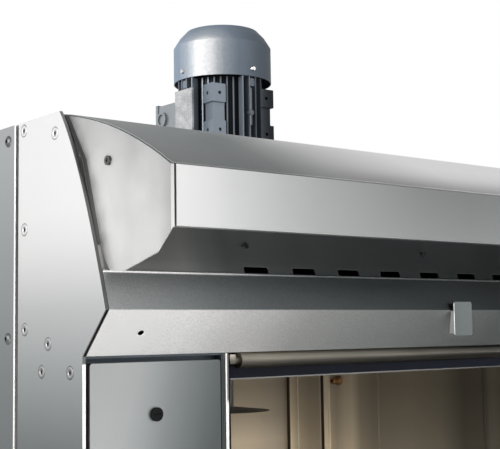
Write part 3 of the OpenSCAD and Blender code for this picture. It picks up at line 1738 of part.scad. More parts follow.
// Brackets on the right column with the hinge pins
bracket_t = 6;
bracket_h = 14;
pin_proud = 2;
pin_l = bracket_h + knuckle_h + pin_proud;

module hinge_brackets() {
  color("gray") {
    for (z = hinge_zs) {
      // Pin through the knuckle
      translate([hinge_x, hinge_y, z - bracket_h]) cylinder(r = hinge_pin_d / 2, h = pin_l);
      // Arm under the knuckle
      box(hinge_x - knuckle_r, hinge_x + knuckle_r, hinge_y - knuckle_r, front_y - gap,
          z - bracket_h, z - 2 * gap);
      // Foot against the cover
      box(hinge_x - knuckle_r, hinge_x + leaf_l, front_y - gap - bracket_t, front_y - gap,
          z - bracket_h - knuckle_h,
          z - 2 * gap);
    }
  }
}

levelling_feet();
base_frame();
floor_pan();
entry_ramp();
chamber_side_walls();
fan_baffle();
chamber_ceiling();
fan_space_back();
air_guides();
insulation();
heating_elements();
fan_guard();
fan_motor();
body_frame();
side_panels();
back_panel();
roof_panel();
front_side_plates();
side_screws();
column_posts();
left_cover();
plain_covers();
control_panel();
door_frame();
door_gasket();
header_tube();
slotted_wall();
front_band();
hood_top();
hood_fascia();
hood_end_caps();
hood_screws();
band_bracket();
gear_housing();
motor_housing();
motor_cowl();
cowl_screws();
terminal_box();
nameplate();
flue_collar();
steam_nozzle();
chamber_lamp();
hinge_brackets();
motor_shaft();
motor_fan();
layshaft();
rack_shaft();
rack_hook();
fan_wheel();
flue_damper();
door_outer();
door_inner();
door_core();
door_glass();
door_handle();
quarter_turn_upper();
quarter_turn_lower();
selector_knob();
start_button();
stop_button();
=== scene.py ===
import json
import math

import bpy
from mathutils import Matrix, Vector


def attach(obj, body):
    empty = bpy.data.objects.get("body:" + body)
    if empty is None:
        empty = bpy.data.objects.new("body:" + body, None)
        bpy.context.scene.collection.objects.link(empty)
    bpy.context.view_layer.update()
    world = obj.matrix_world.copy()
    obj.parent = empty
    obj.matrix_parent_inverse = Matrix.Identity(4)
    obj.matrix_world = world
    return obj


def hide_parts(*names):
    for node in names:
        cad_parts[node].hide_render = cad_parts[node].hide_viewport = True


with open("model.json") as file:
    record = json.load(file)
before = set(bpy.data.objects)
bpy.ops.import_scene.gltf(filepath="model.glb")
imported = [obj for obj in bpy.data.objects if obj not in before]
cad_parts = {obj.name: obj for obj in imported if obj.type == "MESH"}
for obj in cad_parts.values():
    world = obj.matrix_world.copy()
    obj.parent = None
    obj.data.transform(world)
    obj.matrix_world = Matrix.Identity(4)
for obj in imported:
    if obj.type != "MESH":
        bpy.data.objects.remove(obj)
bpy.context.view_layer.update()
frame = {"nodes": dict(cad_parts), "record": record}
nodes = frame["nodes"]


# Camera: at the photograph's place, worked out from the oven's straight edges
SENSOR_WIDTH = 36.0
LENS = 81.07
CAMERA_PLACE = (-1.099, -1.417, 1.9)
CAMERA_RIGHT = (0.77674, -0.62965, -0.01463)
CAMERA_DOWN = (0.04843, 0.08286, -0.99538)
CAMERA_AHEAD = (0.62796, 0.77244, 0.09486)


def make_camera():
    data = bpy.data.cameras.new("camera")
    data.sensor_width = SENSOR_WIDTH
    data.lens = LENS
    data.clip_start = 0.05
    data.clip_end = 60.0
    cam = bpy.data.objects.new("camera", data)
    bpy.context.scene.collection.objects.link(cam)
    turn = Matrix((Vector(CAMERA_RIGHT), -Vector(CAMERA_DOWN), -Vector(CAMERA_AHEAD))).transposed()
    cam.matrix_world = Matrix.Translation(CAMERA_PLACE) @ turn.to_4x4()
    bpy.context.scene.camera = cam


make_camera()

WHITE = (1.0, 1.0, 1.0)
# Slanted axes. SHINE: towards the cowl's face that shines in the left lamp. ACROSS: level, to the right and
# forwards. SLANT: along the cover at the left, leaning to the right towards the top.
LEAN = 0.3
DIRECTIONS = {"SHINE": (-0.857, -0.515, 0.0), "ACROSS": (0.777, -0.63, 0.0), "SLANT": (1.0, 0.0, -LEAN)}


def scaled(color, k):
    return tuple(min(1.0, part * k) for part in color)


class Shade:
    """Builds one node material step by step. Places along an axis are in metres, from the oven's origin."""

    def __init__(self, name, **values):
        self.mat = bpy.data.materials.new(name)
        self.mat.use_nodes = True
        self.tree = self.mat.node_tree
        self.bsdf = self.tree.nodes["Principled BSDF"]
        self.place = self.tree.nodes.new("ShaderNodeTexCoord").outputs["Object"]
        for key, value in values.items():
            self.bsdf.inputs[key.replace("_", " ")].default_value = value

    def node(self, kind, **values):
        made = self.tree.nodes.new(kind)
        for key, value in values.items():
            setattr(made, key, value)
        return made

    def link(self, a, b):
        self.tree.links.new(a, b)

    def axis(self, name):
        """X, Y, Z or a slanted axis. SIDE is the distance from the middle plane, REACH that from the
        rack's axis."""
        if name == "REACH":
            flat = self.vector("MULTIPLY", self.place, (1, 1, 0))
            return self.vector("LENGTH", flat.outputs["Vector"]).outputs["Value"]
        if name in DIRECTIONS:
            return self.vector("DOT_PRODUCT", self.place, DIRECTIONS[name]).outputs["Value"]
        split = self.node("ShaderNodeSeparateXYZ")
        self.link(self.place, split.inputs["Vector"])
        if name != "SIDE":
            return split.outputs[name]
        size = self.node("ShaderNodeMath", operation="ABSOLUTE")
        self.link(split.outputs["X"], size.inputs[0])
        return size.outputs[0]

    def vector(self, operation, source, value=(0, 0, 0)):
        made = self.node("ShaderNodeVectorMath", operation=operation)
        made.inputs[1].default_value = value
        self.link(source, made.inputs[0])
        return made

    def noise(self, scale, detail=4.0, rough=0.5, stretch=(1, 1, 1)):
        mapping = self.node("ShaderNodeMapping")
        mapping.inputs["Scale"].default_value = stretch
        self.link(self.place, mapping.inputs["Vector"])
        made = self.node("ShaderNodeTexNoise")
        made.inputs["Scale"].default_value = scale
        made.inputs["Detail"].default_value = detail
        made.inputs["Roughness"].default_value = rough
        self.link(mapping.outputs["Vector"], made.inputs["Vector"])
        return made.outputs["Fac"]

    def span(self, source, low, high, from_low=0.3, from_high=0.7):
        """Maps a value from one range to another."""
        made = self.node("ShaderNodeMapRange")
        made.inputs["From Min"].default_value = from_low
        made.inputs["From Max"].default_value = from_high
        made.inputs["To Min"].default_value = low
        made.inputs["To Max"].default_value = high
        self.link(source, made.inputs["Value"])
        return made.outputs["Result"]

    def ramp(self, source, stops):
        made = self.node("ShaderNodeValToRGB")
        elements = made.color_ramp.elements
        while len(elements) < len(stops):
            elements.new(0.5)
        for element, (place, color) in zip(elements, stops):
            element.position = place
            element.color = (*color, 1.0)
        self.link(source, made.inputs["Fac"])
        return made.outputs["Color"]

    def blend(self, kind, factor, a, b):
        made = self.node("ShaderNodeMix", data_type="RGBA", blend_type=kind)
        if isinstance(factor, float):
            made.inputs["Factor"].default_value = factor
        else:
            self.link(factor, made.inputs["Factor"])
        for key, value in (("A", a), ("B", b)):
            socket = [s for s in made.inputs if s.name == key and s.type == "RGBA"][0]
            self.link(value, socket)
        return [s for s in made.outputs if s.type == "RGBA"][0]

    def fade(self, axis, stops, cool=0.0):
        """A tone that changes along an axis: stops are pairs of a place and a tone.
        Tones under a half lose red if cool, the more the darker they are."""
        first, last = stops[0][0], stops[-1][0]
        way = self.span(self.axis(axis), 0.0, 1.0, first, last)
        colors = []
        for place, tone in stops:
            red = tone * (1 - cool * max(0.0, 1 - 2 * tone))
            colors.append(((place - first) / (last - first), (red, tone, tone)))
        return self.ramp(way, colors)

    def brushed(self, stretch):
        """The fine lines that brushing leaves in sheet metal."""
        return self.noise(40.0, 3.0, 0.6, stretch)

    def greys(self, source, dark, light):
        """A grey that follows a noise from a dark tone to a light one."""
        return self.ramp(self.span(source, 0.0, 1.0), [(0.0, (dark,) * 3), (1.0, (light,) * 3)])

    def above(self, height, soft=0.0006):
        """0 under a height and 1 over it."""
        return self.span(self.axis("Z"), 0.0, 1.0, height - soft, height + soft)

    def surface(self, height, strength, distance, edge=0.0):
        """Fine relief, with softened edges where edge is a radius."""
        made = self.node("ShaderNodeBump")
        made.inputs["Strength"].default_value = strength
        made.inputs["Distance"].default_value = distance
        self.link(height, made.inputs["Height"])
        if edge:
            round_edge = self.node("ShaderNodeBevel", samples=4)
            round_edge.inputs["Radius"].default_value = edge
            self.link(round_edge.outputs["Normal"], made.inputs["Normal"])
        self.link(made.outputs["Normal"], self.bsdf.inputs["Normal"])

    def color(self, source):
        self.link(source, self.bsdf.inputs["Base Color"])

    def rough(self, source):
        self.link(source, self.bsdf.inputs["Roughness"])


EDGE = 0.0007  # radius of a sheet's softened edges
COOL = 0.13  # how blue the painted shade on the steel turns
WEAR_RANGE = (0.38, 0.62)  # the middle of the mixed noise, which is stretched to the full range
LENGTHWISE = (1, 60, 60)
UPRIGHT = (60, 60, 1)


def sheet(name, tint=WHITE, tone=1.0, fades=(), rough=(0.36, 0.46), grain=LENGTHWISE, spread=0.05,
          cloud_size=3.2, cloud_share=0.6, metal=1.0, edge=EDGE, highlight_strip=None, cool=0.0):
    """Sheet metal: a fine brushed grain, soft clouds over it, and tones of painted light and shade that fade
    along axes. A strip is a painted highlight with one tone of its own, its share given along an axis."""
    s = Shade(name, Metallic=metal)
    cloud = s.noise(cloud_size, 5.0, 0.55)
    line = s.brushed(grain)
    both = s.node("ShaderNodeMix", data_type="FLOAT")
    both.inputs["Factor"].default_value = cloud_share
    s.link(line, both.inputs["A"])
    s.link(cloud, both.inputs["B"])
    wear = both.outputs["Result"]
    base = s.ramp(s.span(wear, 0.0, 1.0, *WEAR_RANGE),
                  [(0.0, scaled(tint, tone * (1 - spread))), (1.0, scaled(tint, tone * (1 + spread)))])
    plain = base
    for axis, stops in fades:
        base = s.blend("MULTIPLY", 1.0, base, s.fade(axis, stops, cool))
    # Painted highlight strip: the tone without the painted fades shows there.
    if highlight_strip:
        base = s.blend("MIX", s.fade(*highlight_strip), base, plain)
    s.color(base)
    s.rough(s.span(wear, *rough, *WEAR_RANGE))
    s.surface(line, 0.1, 0.0002, edge)
    return s.mat


def paint(name, dark, light, rough=(0.4, 0.55), speck=180.0, metal=0.0, depth=0.0003, fades=(),
          gloss=0.5):
    """Painted or coated metal with a fine orange-peel surface."""
    s = Shade(name, Metallic=metal, Specular_IOR_Level=gloss)
    cloud = s.noise(9.0, 5.0, 0.6)
    base = s.ramp(s.span(cloud, 0.0, 1.0), [(0.0, dark), (1.0, light)])
    # Fades here paint light and shade onto the coat.
    for axis, stops in fades:
        base = s.blend("MULTIPLY", 1.0, base, s.fade(axis, stops))
    s.color(base)
    s.rough(s.span(cloud, *rough))
    s.surface(s.noise(speck, 2.0, 0.5), 0.2, depth)
    return s.mat


def wool():
    """Mineral wool, darkened over its front part by painted shade."""
    s = Shade("wool", Roughness=0.95)
    fibre = s.noise(90.0, 6.0, 0.7, (1, 4, 1))
    yellow = s.ramp(fibre, [(0.3, (0.42, 0.35, 0.16)), (0.7, (0.68, 0.6, 0.34))])
    # Painted shade: the wool turns near-black towards the front.
    s.color(s.blend("MULTIPLY", 1.0, yellow, s.fade("Y", [(-0.22, 0.03), (-0.2, 1.0)])))
    s.surface(fibre, 0.6, 0.004)
    return s.mat


def pane():
    """Window glass, slightly uneven."""
    s = Shade("pane", Alpha=0.32, Roughness=0.04, IOR=1.5)
    s.color(s.ramp(s.noise(2.0), [(0.3, (0.36, 0.42, 0.42)), (0.7, (0.44, 0.5, 0.5))]))
    s.surface(s.noise(6.0), 0.02, 0.0005)
    return s.mat


def lamp_glass():
    """Frosted glass of the chamber's lamp."""
    s = Shade("lamp_glass", Roughness=0.35, IOR=1.45)
    s.color(s.ramp(s.noise(60.0), [(0.3, (0.75, 0.72, 0.62)), (0.7, (0.9, 0.88, 0.8))]))
    s.surface(s.noise(220.0), 0.3, 0.0006)
    return s.mat


# Fades, here and below, are painted light and shade: painted reflections, highlights and shadows. They are
# pairs of a place in metres and a tone. Those in X run from the left end to the right, those in Y from the
# front to the back and those in Z upwards.
# Painted highlight on the cowl along SHINE, and painted shade across it, lighter at the left, darker to the
# right.
COWL_SHINE = [(0.0, 0.0), (0.06, 0.06), (0.072, 0.3), (0.0755, 0.6), (0.0775, 1.0)]
COWL_ACROSS = [(-0.08, 1.9), (-0.06, 1.4), (-0.04, 1.15), (0.0, 1.1), (0.03, 0.8), (0.05, 0.55),
               (0.078, 0.35)]


def cowl_paint():
    """Blue-grey enamel with a painted highlight, pale where it shines in the left lamp, and painted shade
    towards the right.
    """
    s = Shade("cowl_paint", Metallic=0.25)
    peel = s.noise(180.0, 2.0, 0.5)
    cloud = s.noise(9.0, 5.0, 0.6)
    shine = s.fade("SHINE", COWL_SHINE)
    blue = s.ramp(s.span(cloud, 0.0, 1.0), [(0.0, (0.12, 0.16, 0.215)), (1.0, (0.14, 0.185, 0.24))])
    painted_highlight = s.ramp(s.span(peel, 0.0, 1.0), [(0.0, (0.5, 0.51, 0.52)), (1.0, (0.6, 0.6, 0.61))])
    s.color(s.blend("MULTIPLY", 1.0, s.blend("MIX", shine, blue, painted_highlight), s.fade("ACROSS", COWL_ACROSS)))
    s.rough(s.span(cloud, 0.46, 0.54))
    s.surface(peel, 0.12, 0.0002, EDGE)
    return s.mat


# Heights at which the slanted band and the upright sheet over it end
BAND_TOP = 1.924
RISER_TOP = 1.9622
# Painted reflections, bright at the left and darker to the right; along the rolled edge a painted highlight.
BAND_X = [(-0.495, 1.05), (-0.457, 1.1), (-0.42, 1.03), (-0.38, 0.93), (-0.34, 0.8), (-0.28, 0.65),
          (-0.22, 0.46), (-0.157, 0.375), (-0.09, 0.31), (-0.016, 0.26), (0.1, 0.19), (0.137, 0.155)]
RISER_X = [(-0.49, 0.4), (-0.43, 0.31), (-0.39, 0.25), (-0.35, 0.185), (-0.29, 0.136), (-0.17, 0.097),
           (-0.03, 0.061), (0.11, 0.036)]
HEM_X = [(-0.49, 0.9), (-0.38, 0.6), (-0.28, 0.2), (-0.2, 0.1), (0.1, 0.045)]


def front_band():
    """Slanted band, upright sheet over it and rolled edge, each with its own fade of painted light and shade.
    """
    s = Shade("front_band", Metallic=1.0)
    grain = s.noise(60.0, 4.0, 0.7, (1, 14, 14))
    cloud = s.noise(5.0, 5.0, 0.55)
    # Painted light and shade, picked by height: band, upright sheet and rolled edge.
    lower = s.blend("MIX", s.above(BAND_TOP), s.fade("X", BAND_X, COOL), s.fade("X", RISER_X, COOL))
    tone = s.blend("MIX", s.above(RISER_TOP), lower, s.fade("X", HEM_X, COOL))
    streak = s.greys(grain, 0.93, 1.02)
    speck = s.greys(s.noise(420.0, 2.0, 0.7), 0.89, 1.07)
    s.color(s.blend("MULTIPLY", 1.0, tone, s.blend("MULTIPLY", 1.0, streak, speck)))
    s.rough(s.span(cloud, 0.36, 0.48))
    s.surface(grain, 0.15, 0.0004, EDGE)
    return s.mat


# Painted reflection on the side plate: bright at the top and darker downwards.
PLATE_Z = [(1.78, 0.21), (1.83, 0.28), (1.862, 0.32), (1.9, 0.385), (1.93, 0.435), (1.96, 0.52),
           (1.993, 0.6), (2.03, 0.65), (2.14, 0.69)]
# The fold has a painted highlight up to its top, and painted shade over it. Its share of the side is what
# lies inside the plate's outer face.
FOLD_TOP = 1.869
FOLD_SHARE = [(0.4998, 1.0), (0.49995, 0.0)]
FOLD_LOW_Z = [(1.7, 0.95), (1.9, 0.95)]
FOLD_HIGH_Z = [(1.9, 0.13), (2.1, 0.3)]


def side_plate():
    """Side plate with a painted reflection that darkens downwards: its fold has a painted highlight up to the
    band, and painted shade along the slanted edges over it.
    """
    s = Shade("side_plate", Metallic=1.0)
    grain = s.brushed(UPRIGHT)
    fold = s.blend("MIX", s.above(FOLD_TOP), s.fade("Z", FOLD_LOW_Z), s.fade("Z", FOLD_HIGH_Z))
    tone = s.blend("MIX", s.fade("SIDE", FOLD_SHARE), s.fade("Z", PLATE_Z, COOL), fold)
    s.color(s.blend("MULTIPLY", 1.0, tone, s.greys(grain, 0.97, 1.0)))
    s.rough(s.span(grain, 0.38, 0.44))
    s.surface(grain, 0.1, 0.0002)
    return s.mat


# Painted light and shade on the hood's top: darker to the left, lighter to the right, darker towards the
# fascia.
TOP_X = [(-0.47, 0.265), (-0.39, 0.215), (-0.35, 0.24), (-0.3, 0.4), (-0.24, 0.635), (-0.18, 0.785),
         (-0.12, 0.9), (-0.06, 1.0)]
TOP_Z = [(2.062, 0.42), (2.066, 0.5), (2.078, 0.78), (2.084, 0.89), (2.09, 0.94), (2.1, 1.0)]
TOP_LEFT_Z = [(2.062, 0.88), (2.084, 1.0), (2.12, 1.05)]
TOP_SHARE = [(-0.36, 0.0), (-0.3, 0.3), (-0.24, 0.8), (-0.18, 1.0)]


def hood_roof():
    """Curved top of the hood, with painted shade: it darkens to the left, and towards the fascia over the
    right part.
    """
    s = Shade("top_sheet", Metallic=0.85)
    line = s.brushed(LENGTHWISE)
    down = s.blend("MIX", s.fade("X", TOP_SHARE), s.fade("Z", TOP_LEFT_Z), s.fade("Z", TOP_Z))
    tone = s.blend("MULTIPLY", 1.0, s.fade("X", TOP_X, COOL), down)
    s.color(s.blend("MULTIPLY", 1.0, tone, s.greys(line, 0.96, 1.03)))
    s.rough(s.span(line, 0.36, 0.46))
    s.surface(line, 0.1, 0.0002, EDGE)
    return s.mat


# Painted light and shade of the other sheets, as fades. The cover's are given at this height, and slant from
# there.
COVER_LEVEL = 1.78
# Cover: painted reflection, bright at the left and darker to the right, and darker upwards.
COVER_AT_LEVEL = [(-0.5, 0.41), (-0.48, 0.405), (-0.455, 0.38), (-0.43, 0.31), (-0.404, 0.228),
                  (-0.378, 0.169), (-0.35, 0.117), (-0.33, 0.091)]
COVER_SLANT = [(x - LEAN * COVER_LEVEL, tone) for x, tone in COVER_AT_LEVEL]
COVER_Z = [(COVER_LEVEL, 1.0), (1.84, 0.86), (1.87, 0.8)]
# Side panels: painted reflection that grows lighter upwards, and a painted highlight along the front edge.
PANEL_Z = [(1.78, 0.195), (1.86, 0.21), (1.93, 0.245), (2.0, 0.28), (2.12, 0.35)]
SEAM_HIGHLIGHT = [(-0.2557, 1.0), (-0.2528, 1.0), (-0.2522, 0.0)]
# Fascia: painted reflection, bright at the left and darker to the right.
FASCIA_X = [(-0.48, 0.535), (-0.44, 0.485), (-0.41, 0.42), (-0.35, 0.34), (-0.3, 0.29), (-0.23, 0.245),
            (-0.145, 0.195), (-0.06, 0.17), (0.0, 0.165)]
# Slotted wall: painted shade under the hood, lighter only at its left end.
WALL_X = [(-0.39, 0.54), (-0.364, 0.36), (-0.33, 0.23), (-0.28, 0.207), (-0.217, 0.146), (-0.136, 0.11),
          (-0.047, 0.09), (0.03, 0.078), (0.13, 0.047)]
# Bracket: a painted highlight on its left flange, its front face darker.
BRACKET_X = [(0.0206, 0.8), (0.0216, 0.067)]
# End caps: painted reflection that changes with height and depth, and painted shade on the flange at the rear
# edge.
CAP_Z = [(1.968, 1.0), (2.015, 1.0), (2.046, 0.92), (2.08, 0.78), (2.12, 0.69)]
CAP_Y = [(-0.548, 0.62), (-0.53, 0.78), (-0.505, 0.84), (-0.48, 0.86), (-0.45, 0.94), (-0.42, 1.0)]
CAP_SIDE = [(0.4897, 1.0), (0.4903, 0.18), (0.496, 0.1)]
# Door frame: painted shade on its head, and a painted highlight on the left jamb's corner.
FRAME_Z = [(1.82, 1.0), (1.825, 0.2)]
FRAME_HIGHLIGHT = [(-0.3125, 1.0), (-0.312, 0.0)]
# Header tube: painted shade below and to the right, and a painted highlight along its upper part.
TUBE_X = [(-0.3, 0.13), (-0.26, 0.15), (-0.2, 0.12), (-0.12, 0.1), (-0.03, 0.095), (0.067, 0.059),
          (0.15, 0.041)]
TUBE_Z = [(1.8584, 0.3), (1.8623, 0.38), (1.8653, 0.65), (1.8677, 1.0), (1.8715, 2.1), (1.875, 3.0)]
# Chamber: painted light and shade on the air guides and the fan baffle, with painted highlights on the folds,
# darker upwards and towards the back.
GUIDE_Y = [(-0.211, 0.19), (-0.2, 0.2), (-0.19, 0.185), (-0.182, 0.12), (-0.14, 0.105), (-0.09, 0.225),
           (-0.02, 0.285), (0.075, 0.275), (0.108, 0.38), (0.13, 0.7), (0.15, 0.66), (0.172, 0.52),
           (0.19, 0.62), (0.194, 1.0), (0.206, 1.0), (0.222, 0.42), (0.25, 0.46), (0.28, 0.6), (0.302, 1.0)]
GUIDE_Z = [(1.68, 1.0), (1.74, 0.7), (1.8, 0.5)]
BAFFLE_Z = [(1.68, 1.0), (1.73, 0.6), (1.79, 0.35)]
BAFFLE_Y = [(0.35, 1.0), (0.42, 0.74), (0.49, 0.66)]
# Motor: painted shade in the valleys between the fins, light fin tips, and painted shade to the right.
FIN_REACH = [(0.058, 0.03), (0.0628, 0.07), (0.0638, 1.0), (0.08, 1.0)]
FIN_ACROSS = [(-0.08, 1.0), (0.02, 1.0), (0.05, 0.55), (0.066, 0.15), (0.075, 0.07)]
# The beige that the chamber's steel shows in its warm lamp light: painted light in the sheets' colour.
LAMPLIT_BEIGE = (1.0, 0.86, 0.7)
DULL = (0.5, 0.65)  # roughness of the sheets in the chamber

# Shades by the record's material slots, and by node where a sheet has fades of painted light and shade of its
# own
SLOT_SHADES = {
    "foot_black": paint("foot_rubber", (0.02, 0.02, 0.02), (0.035, 0.035, 0.035), (0.7, 0.85)),
    "frame_grey": paint("frame_paint", (0.16, 0.165, 0.17), (0.22, 0.225, 0.23)),
    "liner": sheet("liner", LAMPLIT_BEIGE, 0.6, (), DULL, UPRIGHT, 0.08, metal=0.6),
    "steel": sheet("steel", WHITE, 0.5),
    "wool": wool(),
    "heater": paint("heater", (0.03, 0.027, 0.025), (0.06, 0.05, 0.045), (0.6, 0.75)),
    "bright_wire": sheet("bright_wire", WHITE, 0.7, rough=(0.18, 0.28), edge=0.0),
    "motor_paint": paint("motor_paint", (0.13, 0.165, 0.2), (0.16, 0.2, 0.24), (0.32, 0.45), metal=0.4),
    "screw": sheet("screw", (1.0, 0.98, 0.92), 0.3, rough=(0.35, 0.45), edge=0.0),
    "panel_black": paint("panel_black", (0.018, 0.018, 0.02), (0.03, 0.03, 0.034), (0.3, 0.42)),
    "gasket": paint("gasket", (0.004, 0.005, 0.009), (0.008, 0.01, 0.017), (0.7, 0.85), 90.0,
                    depth=0.0008, gloss=0.1),
    # The header tube's warm tint and fades paint its reflection of the chamber: highlight on top, shade
    # below.
    "tube_brown": sheet("tube_brown", (1.0, 0.91, 0.77), 1.0, [("X", TUBE_X), ("Z", TUBE_Z)],
                        (0.42, 0.52), edge=0.0),
    # Painted shade: the column posts beside the door, which lie in shadow, get a near-black steel.
    "dark_steel": paint("dark_steel", (0.045, 0.055, 0.065), (0.07, 0.085, 0.1), (0.45, 0.6), metal=0.7),
    "cap_steel": sheet("cap_steel", WHITE, 1.0, [("Z", CAP_Z), ("Y", CAP_Y), ("SIDE", CAP_SIDE)],
                       (0.42, 0.56), (1, 1, 1), 0.1, 24.0, 0.8, metal=0.85),
    "plate": sheet("plate", (0.98, 0.99, 1.0), 0.5, (), (0.4, 0.5), (9, 9, 9), 0.25, 60.0, 0.5),
    "brass": sheet("brass", (1.0, 0.62, 0.32), 0.24, rough=(0.28, 0.4), spread=0.3, cloud_size=60.0),
    "lamp": lamp_glass(),
    "forged": paint("forged", (0.2, 0.2, 0.2), (0.3, 0.3, 0.3), (0.4, 0.55), 120.0, 0.8),
    "shaft_steel": sheet("shaft_steel", WHITE, 0.44, rough=(0.25, 0.36)),
    "fan_black": paint("fan_black", (0.02, 0.02, 0.02), (0.04, 0.04, 0.04), (0.5, 0.65)),
    "pane": pane(),
    "handle_black": paint("handle_black", (0.012, 0.012, 0.012), (0.022, 0.022, 0.022), (0.18, 0.28)),
    "lock_black": paint("lock_black", (0.004, 0.005, 0.005), (0.009, 0.01, 0.01), (0.6, 0.75), gloss=0.06),
    "green_cap": paint("green_cap", (0.01, 0.16, 0.03), (0.015, 0.22, 0.05), (0.2, 0.3)),
    "red_cap": paint("red_cap", (0.35, 0.012, 0.01), (0.45, 0.02, 0.015), (0.2, 0.3)),
}

NODE_SHADES = {
    "front_side_plates": side_plate(),
    "side_panels": sheet("panel_sheet", WHITE, 0.97, [("Z", PANEL_Z)], grain=UPRIGHT, spread=0.04,
                         highlight_strip=("Y", SEAM_HIGHLIGHT), cool=COOL),
    "hood_fascia": sheet("fascia_sheet", WHITE, 1.0, [("X", FASCIA_X)], spread=0.03, cool=0.05),
    "door_outer": sheet("door_sheet", WHITE, 0.34, grain=UPRIGHT),
    "door_inner": sheet("inner_sheet", WHITE, 0.34, grain=UPRIGHT),
    "plain_covers": sheet("plain_sheet", WHITE, 0.32, grain=UPRIGHT),
    "left_cover": sheet("cover_sheet", WHITE, 1.0, [("SLANT", COVER_SLANT), ("Z", COVER_Z)], grain=UPRIGHT,
                        spread=0.03, cool=COOL),
    "slotted_wall": sheet("wall_sheet", WHITE, 1.0, [("X", WALL_X)], spread=0.05, cool=COOL),
    "hood_top": hood_roof(),
    "front_band": front_band(),
    "band_bracket": sheet("bracket_sheet", WHITE, 1.0, [("X", BRACKET_X)], grain=UPRIGHT, cool=COOL),
    "air_guides": sheet("guide_sheet", LAMPLIT_BEIGE, 1.0, [("Y", GUIDE_Y), ("Z", GUIDE_Z)], DULL, UPRIGHT, 0.1,
                        metal=0.6),
    # Its warm tint is the chamber's lamp light painted into the colour; its fades are painted shade.
    "fan_baffle": sheet("baffle_sheet", (1.0, 0.84, 0.66), 1.0, [("Z", BAFFLE_Z), ("Y", BAFFLE_Y)], DULL,
                        (40, 1, 40), 0.08, metal=0.15),
    # Painted shade: the side walls seen behind the guides' slots get a near-black tone.
    "chamber_side_walls": sheet("duct_sheet", LAMPLIT_BEIGE, 0.06, (), DULL, UPRIGHT, 0.2, metal=0.6),
    "door_frame": sheet("door_frame_sheet", (1.0, 0.99, 0.95), 0.7, [("Z", FRAME_Z)],
                        highlight_strip=("X", FRAME_HIGHLIGHT)),
    "motor_housing": paint("housing_paint", (0.2, 0.23, 0.27), (0.25, 0.285, 0.33), (0.32, 0.45), metal=0.4,
                           fades=[("REACH", FIN_REACH), ("ACROSS", FIN_ACROSS)], gloss=0.1),
    "terminal_box": paint("terminal_paint", (0.24, 0.265, 0.28), (0.32, 0.345, 0.36), (0.3, 0.42), metal=0.4),
    "motor_cowl": cowl_paint(),
    "cowl_screws": sheet("cowl_screw", WHITE, 0.7, rough=(0.25, 0.35), edge=0.0),
    "hood_screws": sheet("hood_screw", (1.0, 0.98, 0.94), 0.09, rough=(0.3, 0.4), spread=0.2, edge=0.0),
}


def dress_cad():
    for row in frame["record"]["subparts"]:
        mesh = nodes[row["node"]].data
        mesh.materials.clear()
        mesh.materials.append(NODE_SHADES.get(row["node"], SLOT_SHADES[row["material_slot"]]))


dress_cad()


# Screws of the side: heads with sockets, and the rings of their countersinks. The dark sockets and rings are
# painted shade; heads and rings carry the plate's painted reflection.
SIDE_X = 0.5
ROOF_Z = 2.141
ROUND = 40  # points round a screw
# Places of the screws: y, and the drop from the roof. Down the side they repeat with this step.
SCREW_STEP = 0.4
SUNK_PLACES = [(-0.2755, 0.010), (-0.3465, 0.023), (-0.2775, 0.123), (-0.279, 0.235), (-0.332, 0.251),
               (-0.318, 0.281), (-0.379, 0.281)] + [(-0.279, 0.235 + SCREW_STEP * i) for i in range(1, 5)]
DOME_PLACES = [(-0.2376, 0.017)] + [(-0.239, 0.245 + SCREW_STEP * i) for i in range(5)]
# Outlines from the middle outwards: radius, and height over the plate
SUNK_HEAD = [(0.0021, 0.0001), (0.0023, 0.0004), (0.0058, 0.0004), (0.0064, 0.0002)]
SUNK_SOCKET = [(0.0, 0.00008), (0.0021, 0.0001)]
SUNK_RING = [(0.0063, 0.0002), (0.0066, 0.0003), (0.0072, 0.0003), (0.0075, 0.00002)]
DOME_HEAD = [(0.0024, 0.0028), (0.0036, 0.0026), (0.0052, 0.0018), (0.0064, 0.0008), (0.0068, 0.0001)]
DOME_SOCKET = [(0.0, 0.0016), (0.0022, 0.0017), (0.0024, 0.0028)]


def turned(name, places, outline, shade):
    """One mesh of equal turned forms on both sides of the oven."""
    points, faces = [], []
    for side in (-1, 1):
        for y, drop in places:
            start = len(points)
            for radius, rise in outline:
                for i in range(ROUND):
                    angle = 2 * math.pi * i / ROUND
                    points.append((side * (SIDE_X + rise), y + radius * math.cos(angle),
                                   ROOF_Z - drop + radius * math.sin(angle)))
            for ring in range(len(outline) - 1):
                for i in range(ROUND):
                    a, b = start + ring * ROUND + i, start + ring * ROUND + (i + 1) % ROUND
                    quad = (a, b, b + ROUND, a + ROUND)
                    faces.append(quad if side > 0 else quad[::-1])
    mesh = bpy.data.meshes.new(name)
    mesh.from_pydata(points, [], faces)
    for face in mesh.polygons:
        face.use_smooth = True
    mesh.materials.append(shade)
    piece = bpy.data.objects.new(name, mesh)
    bpy.context.scene.collection.objects.link(piece)
    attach(piece, "oven")
    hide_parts("side_screws")


def make_side_screws():
    # Heads carry the plate's painted reflection.
    head = sheet("screw_head", WHITE, 1.0, [("Z", PLATE_Z)], (0.3, 0.4), spread=0.08, edge=0.0)
    # The ring is the countersink's painted shade: darker than the head, faded with the plate's painted
    # reflection.
    ring = sheet("screw_ring_shade", (0.97, 1.0, 1.0), 0.42, [("Z", PLATE_Z)], (0.4, 0.5), spread=0.2, edge=0.0)
    dome = paint("screw_dome", (0.1, 0.105, 0.105), (0.15, 0.155, 0.155), (0.35, 0.45), metal=0.8)
    # The sockets are dark discs: painted shade in their recesses.
    dark = SLOT_SHADES["lock_black"]
    turned("sunk_heads", SUNK_PLACES, SUNK_HEAD, head)
    turned("sunk_sockets", SUNK_PLACES, SUNK_SOCKET, dark)
    turned("sunk_rings", SUNK_PLACES, SUNK_RING, ring)
    turned("dome_heads", DOME_PLACES, DOME_HEAD, dome)
    turned("dome_sockets", DOME_PLACES, DOME_SOCKET, dark)


make_side_screws()


# Surroundings: a pale floor, a bright even room that the camera sees as white, and soft lamps
FLOOR_HALF = 9.0
ROOM_LIGHT = 0.6


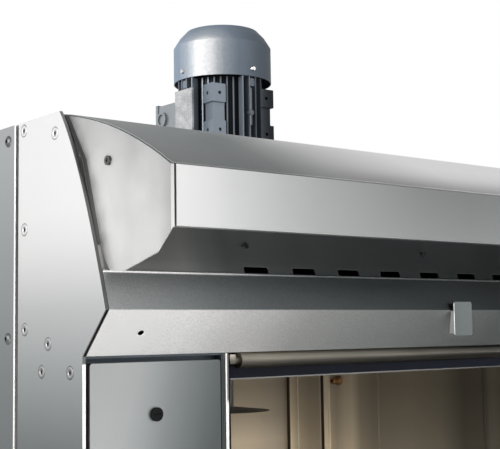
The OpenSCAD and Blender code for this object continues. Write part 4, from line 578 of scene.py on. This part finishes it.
def make_floor():
    mesh = bpy.data.meshes.new("floor")
    half = FLOOR_HALF
    mesh.from_pydata([(-half, -half, 0), (half, -half, 0), (half, half, 0), (-half, half, 0)], [],
                     [(0, 1, 2, 3)])
    floor = bpy.data.objects.new("floor", mesh)
    bpy.context.scene.collection.objects.link(floor)
    mat = bpy.data.materials.new("floor")
    mat.use_nodes = True
    bsdf = mat.node_tree.nodes["Principled BSDF"]
    bsdf.inputs["Base Color"].default_value = (0.8, 0.8, 0.8, 1.0)
    bsdf.inputs["Roughness"].default_value = 0.9
    mesh.materials.append(mat)


def make_world(strength):
    world = bpy.data.worlds.new("world")
    bpy.context.scene.world = world
    world.use_nodes = True
    tree = world.node_tree
    base = tree.nodes["Background"]
    base.inputs["Color"].default_value = (1.0, 1.0, 1.0, 1.0)
    base.inputs["Strength"].default_value = strength
    white = tree.nodes.new("ShaderNodeBackground")
    white.inputs["Color"].default_value = (1.0, 1.0, 1.0, 1.0)
    white.inputs["Strength"].default_value = 1.0
    path = tree.nodes.new("ShaderNodeLightPath")
    mix = tree.nodes.new("ShaderNodeMixShader")
    out = tree.nodes["World Output"]
    tree.links.new(path.outputs["Is Camera Ray"], mix.inputs["Fac"])
    tree.links.new(base.outputs["Background"], mix.inputs[1])
    tree.links.new(white.outputs["Background"], mix.inputs[2])
    tree.links.new(mix.outputs["Shader"], out.inputs["Surface"])


def make_light(name, place, target, size, power, color=WHITE):
    """A soft lamp that faces its target: places and size in metres, power in watts."""
    data = bpy.data.lights.new(name, "AREA")
    data.shape = "RECTANGLE"
    data.size, data.size_y = size
    data.energy = power
    data.color = color
    lamp = bpy.data.objects.new(name, data)
    bpy.context.scene.collection.objects.link(lamp)
    lamp.location = place
    lamp.rotation_mode = "QUATERNION"
    lamp.rotation_quaternion = (Vector(target) - Vector(place)).to_track_quat("-Z", "Y")


make_floor()
make_world(ROOM_LIGHT)
make_light("key_left", (-3.6, 0.1, 2.7), (0.0, 0.0, 2.1), (2.4, 1.8), 90.0)
make_light("fill_front", (1.6, -4.2, 2.9), (0.0, -0.3, 1.8), (2.6, 2.0), 30.0)
make_light("low_left", (-1.9, -2.3, 0.8), (0.3, 0.2, 1.8), (1.4, 1.0), 60.0, (1.0, 0.96, 0.9))
make_light("back_left", (-2.9, 2.9, 2.4), (-0.5, -0.2, 2.0), (2.0, 1.6), 10.0)
make_light("floor_wash", (1.8, -1.4, 1.6), (1.2, -0.8, 0.0), (1.5, 1.5), 60.0)

bpy.context.scene.view_settings.view_transform = "Standard"
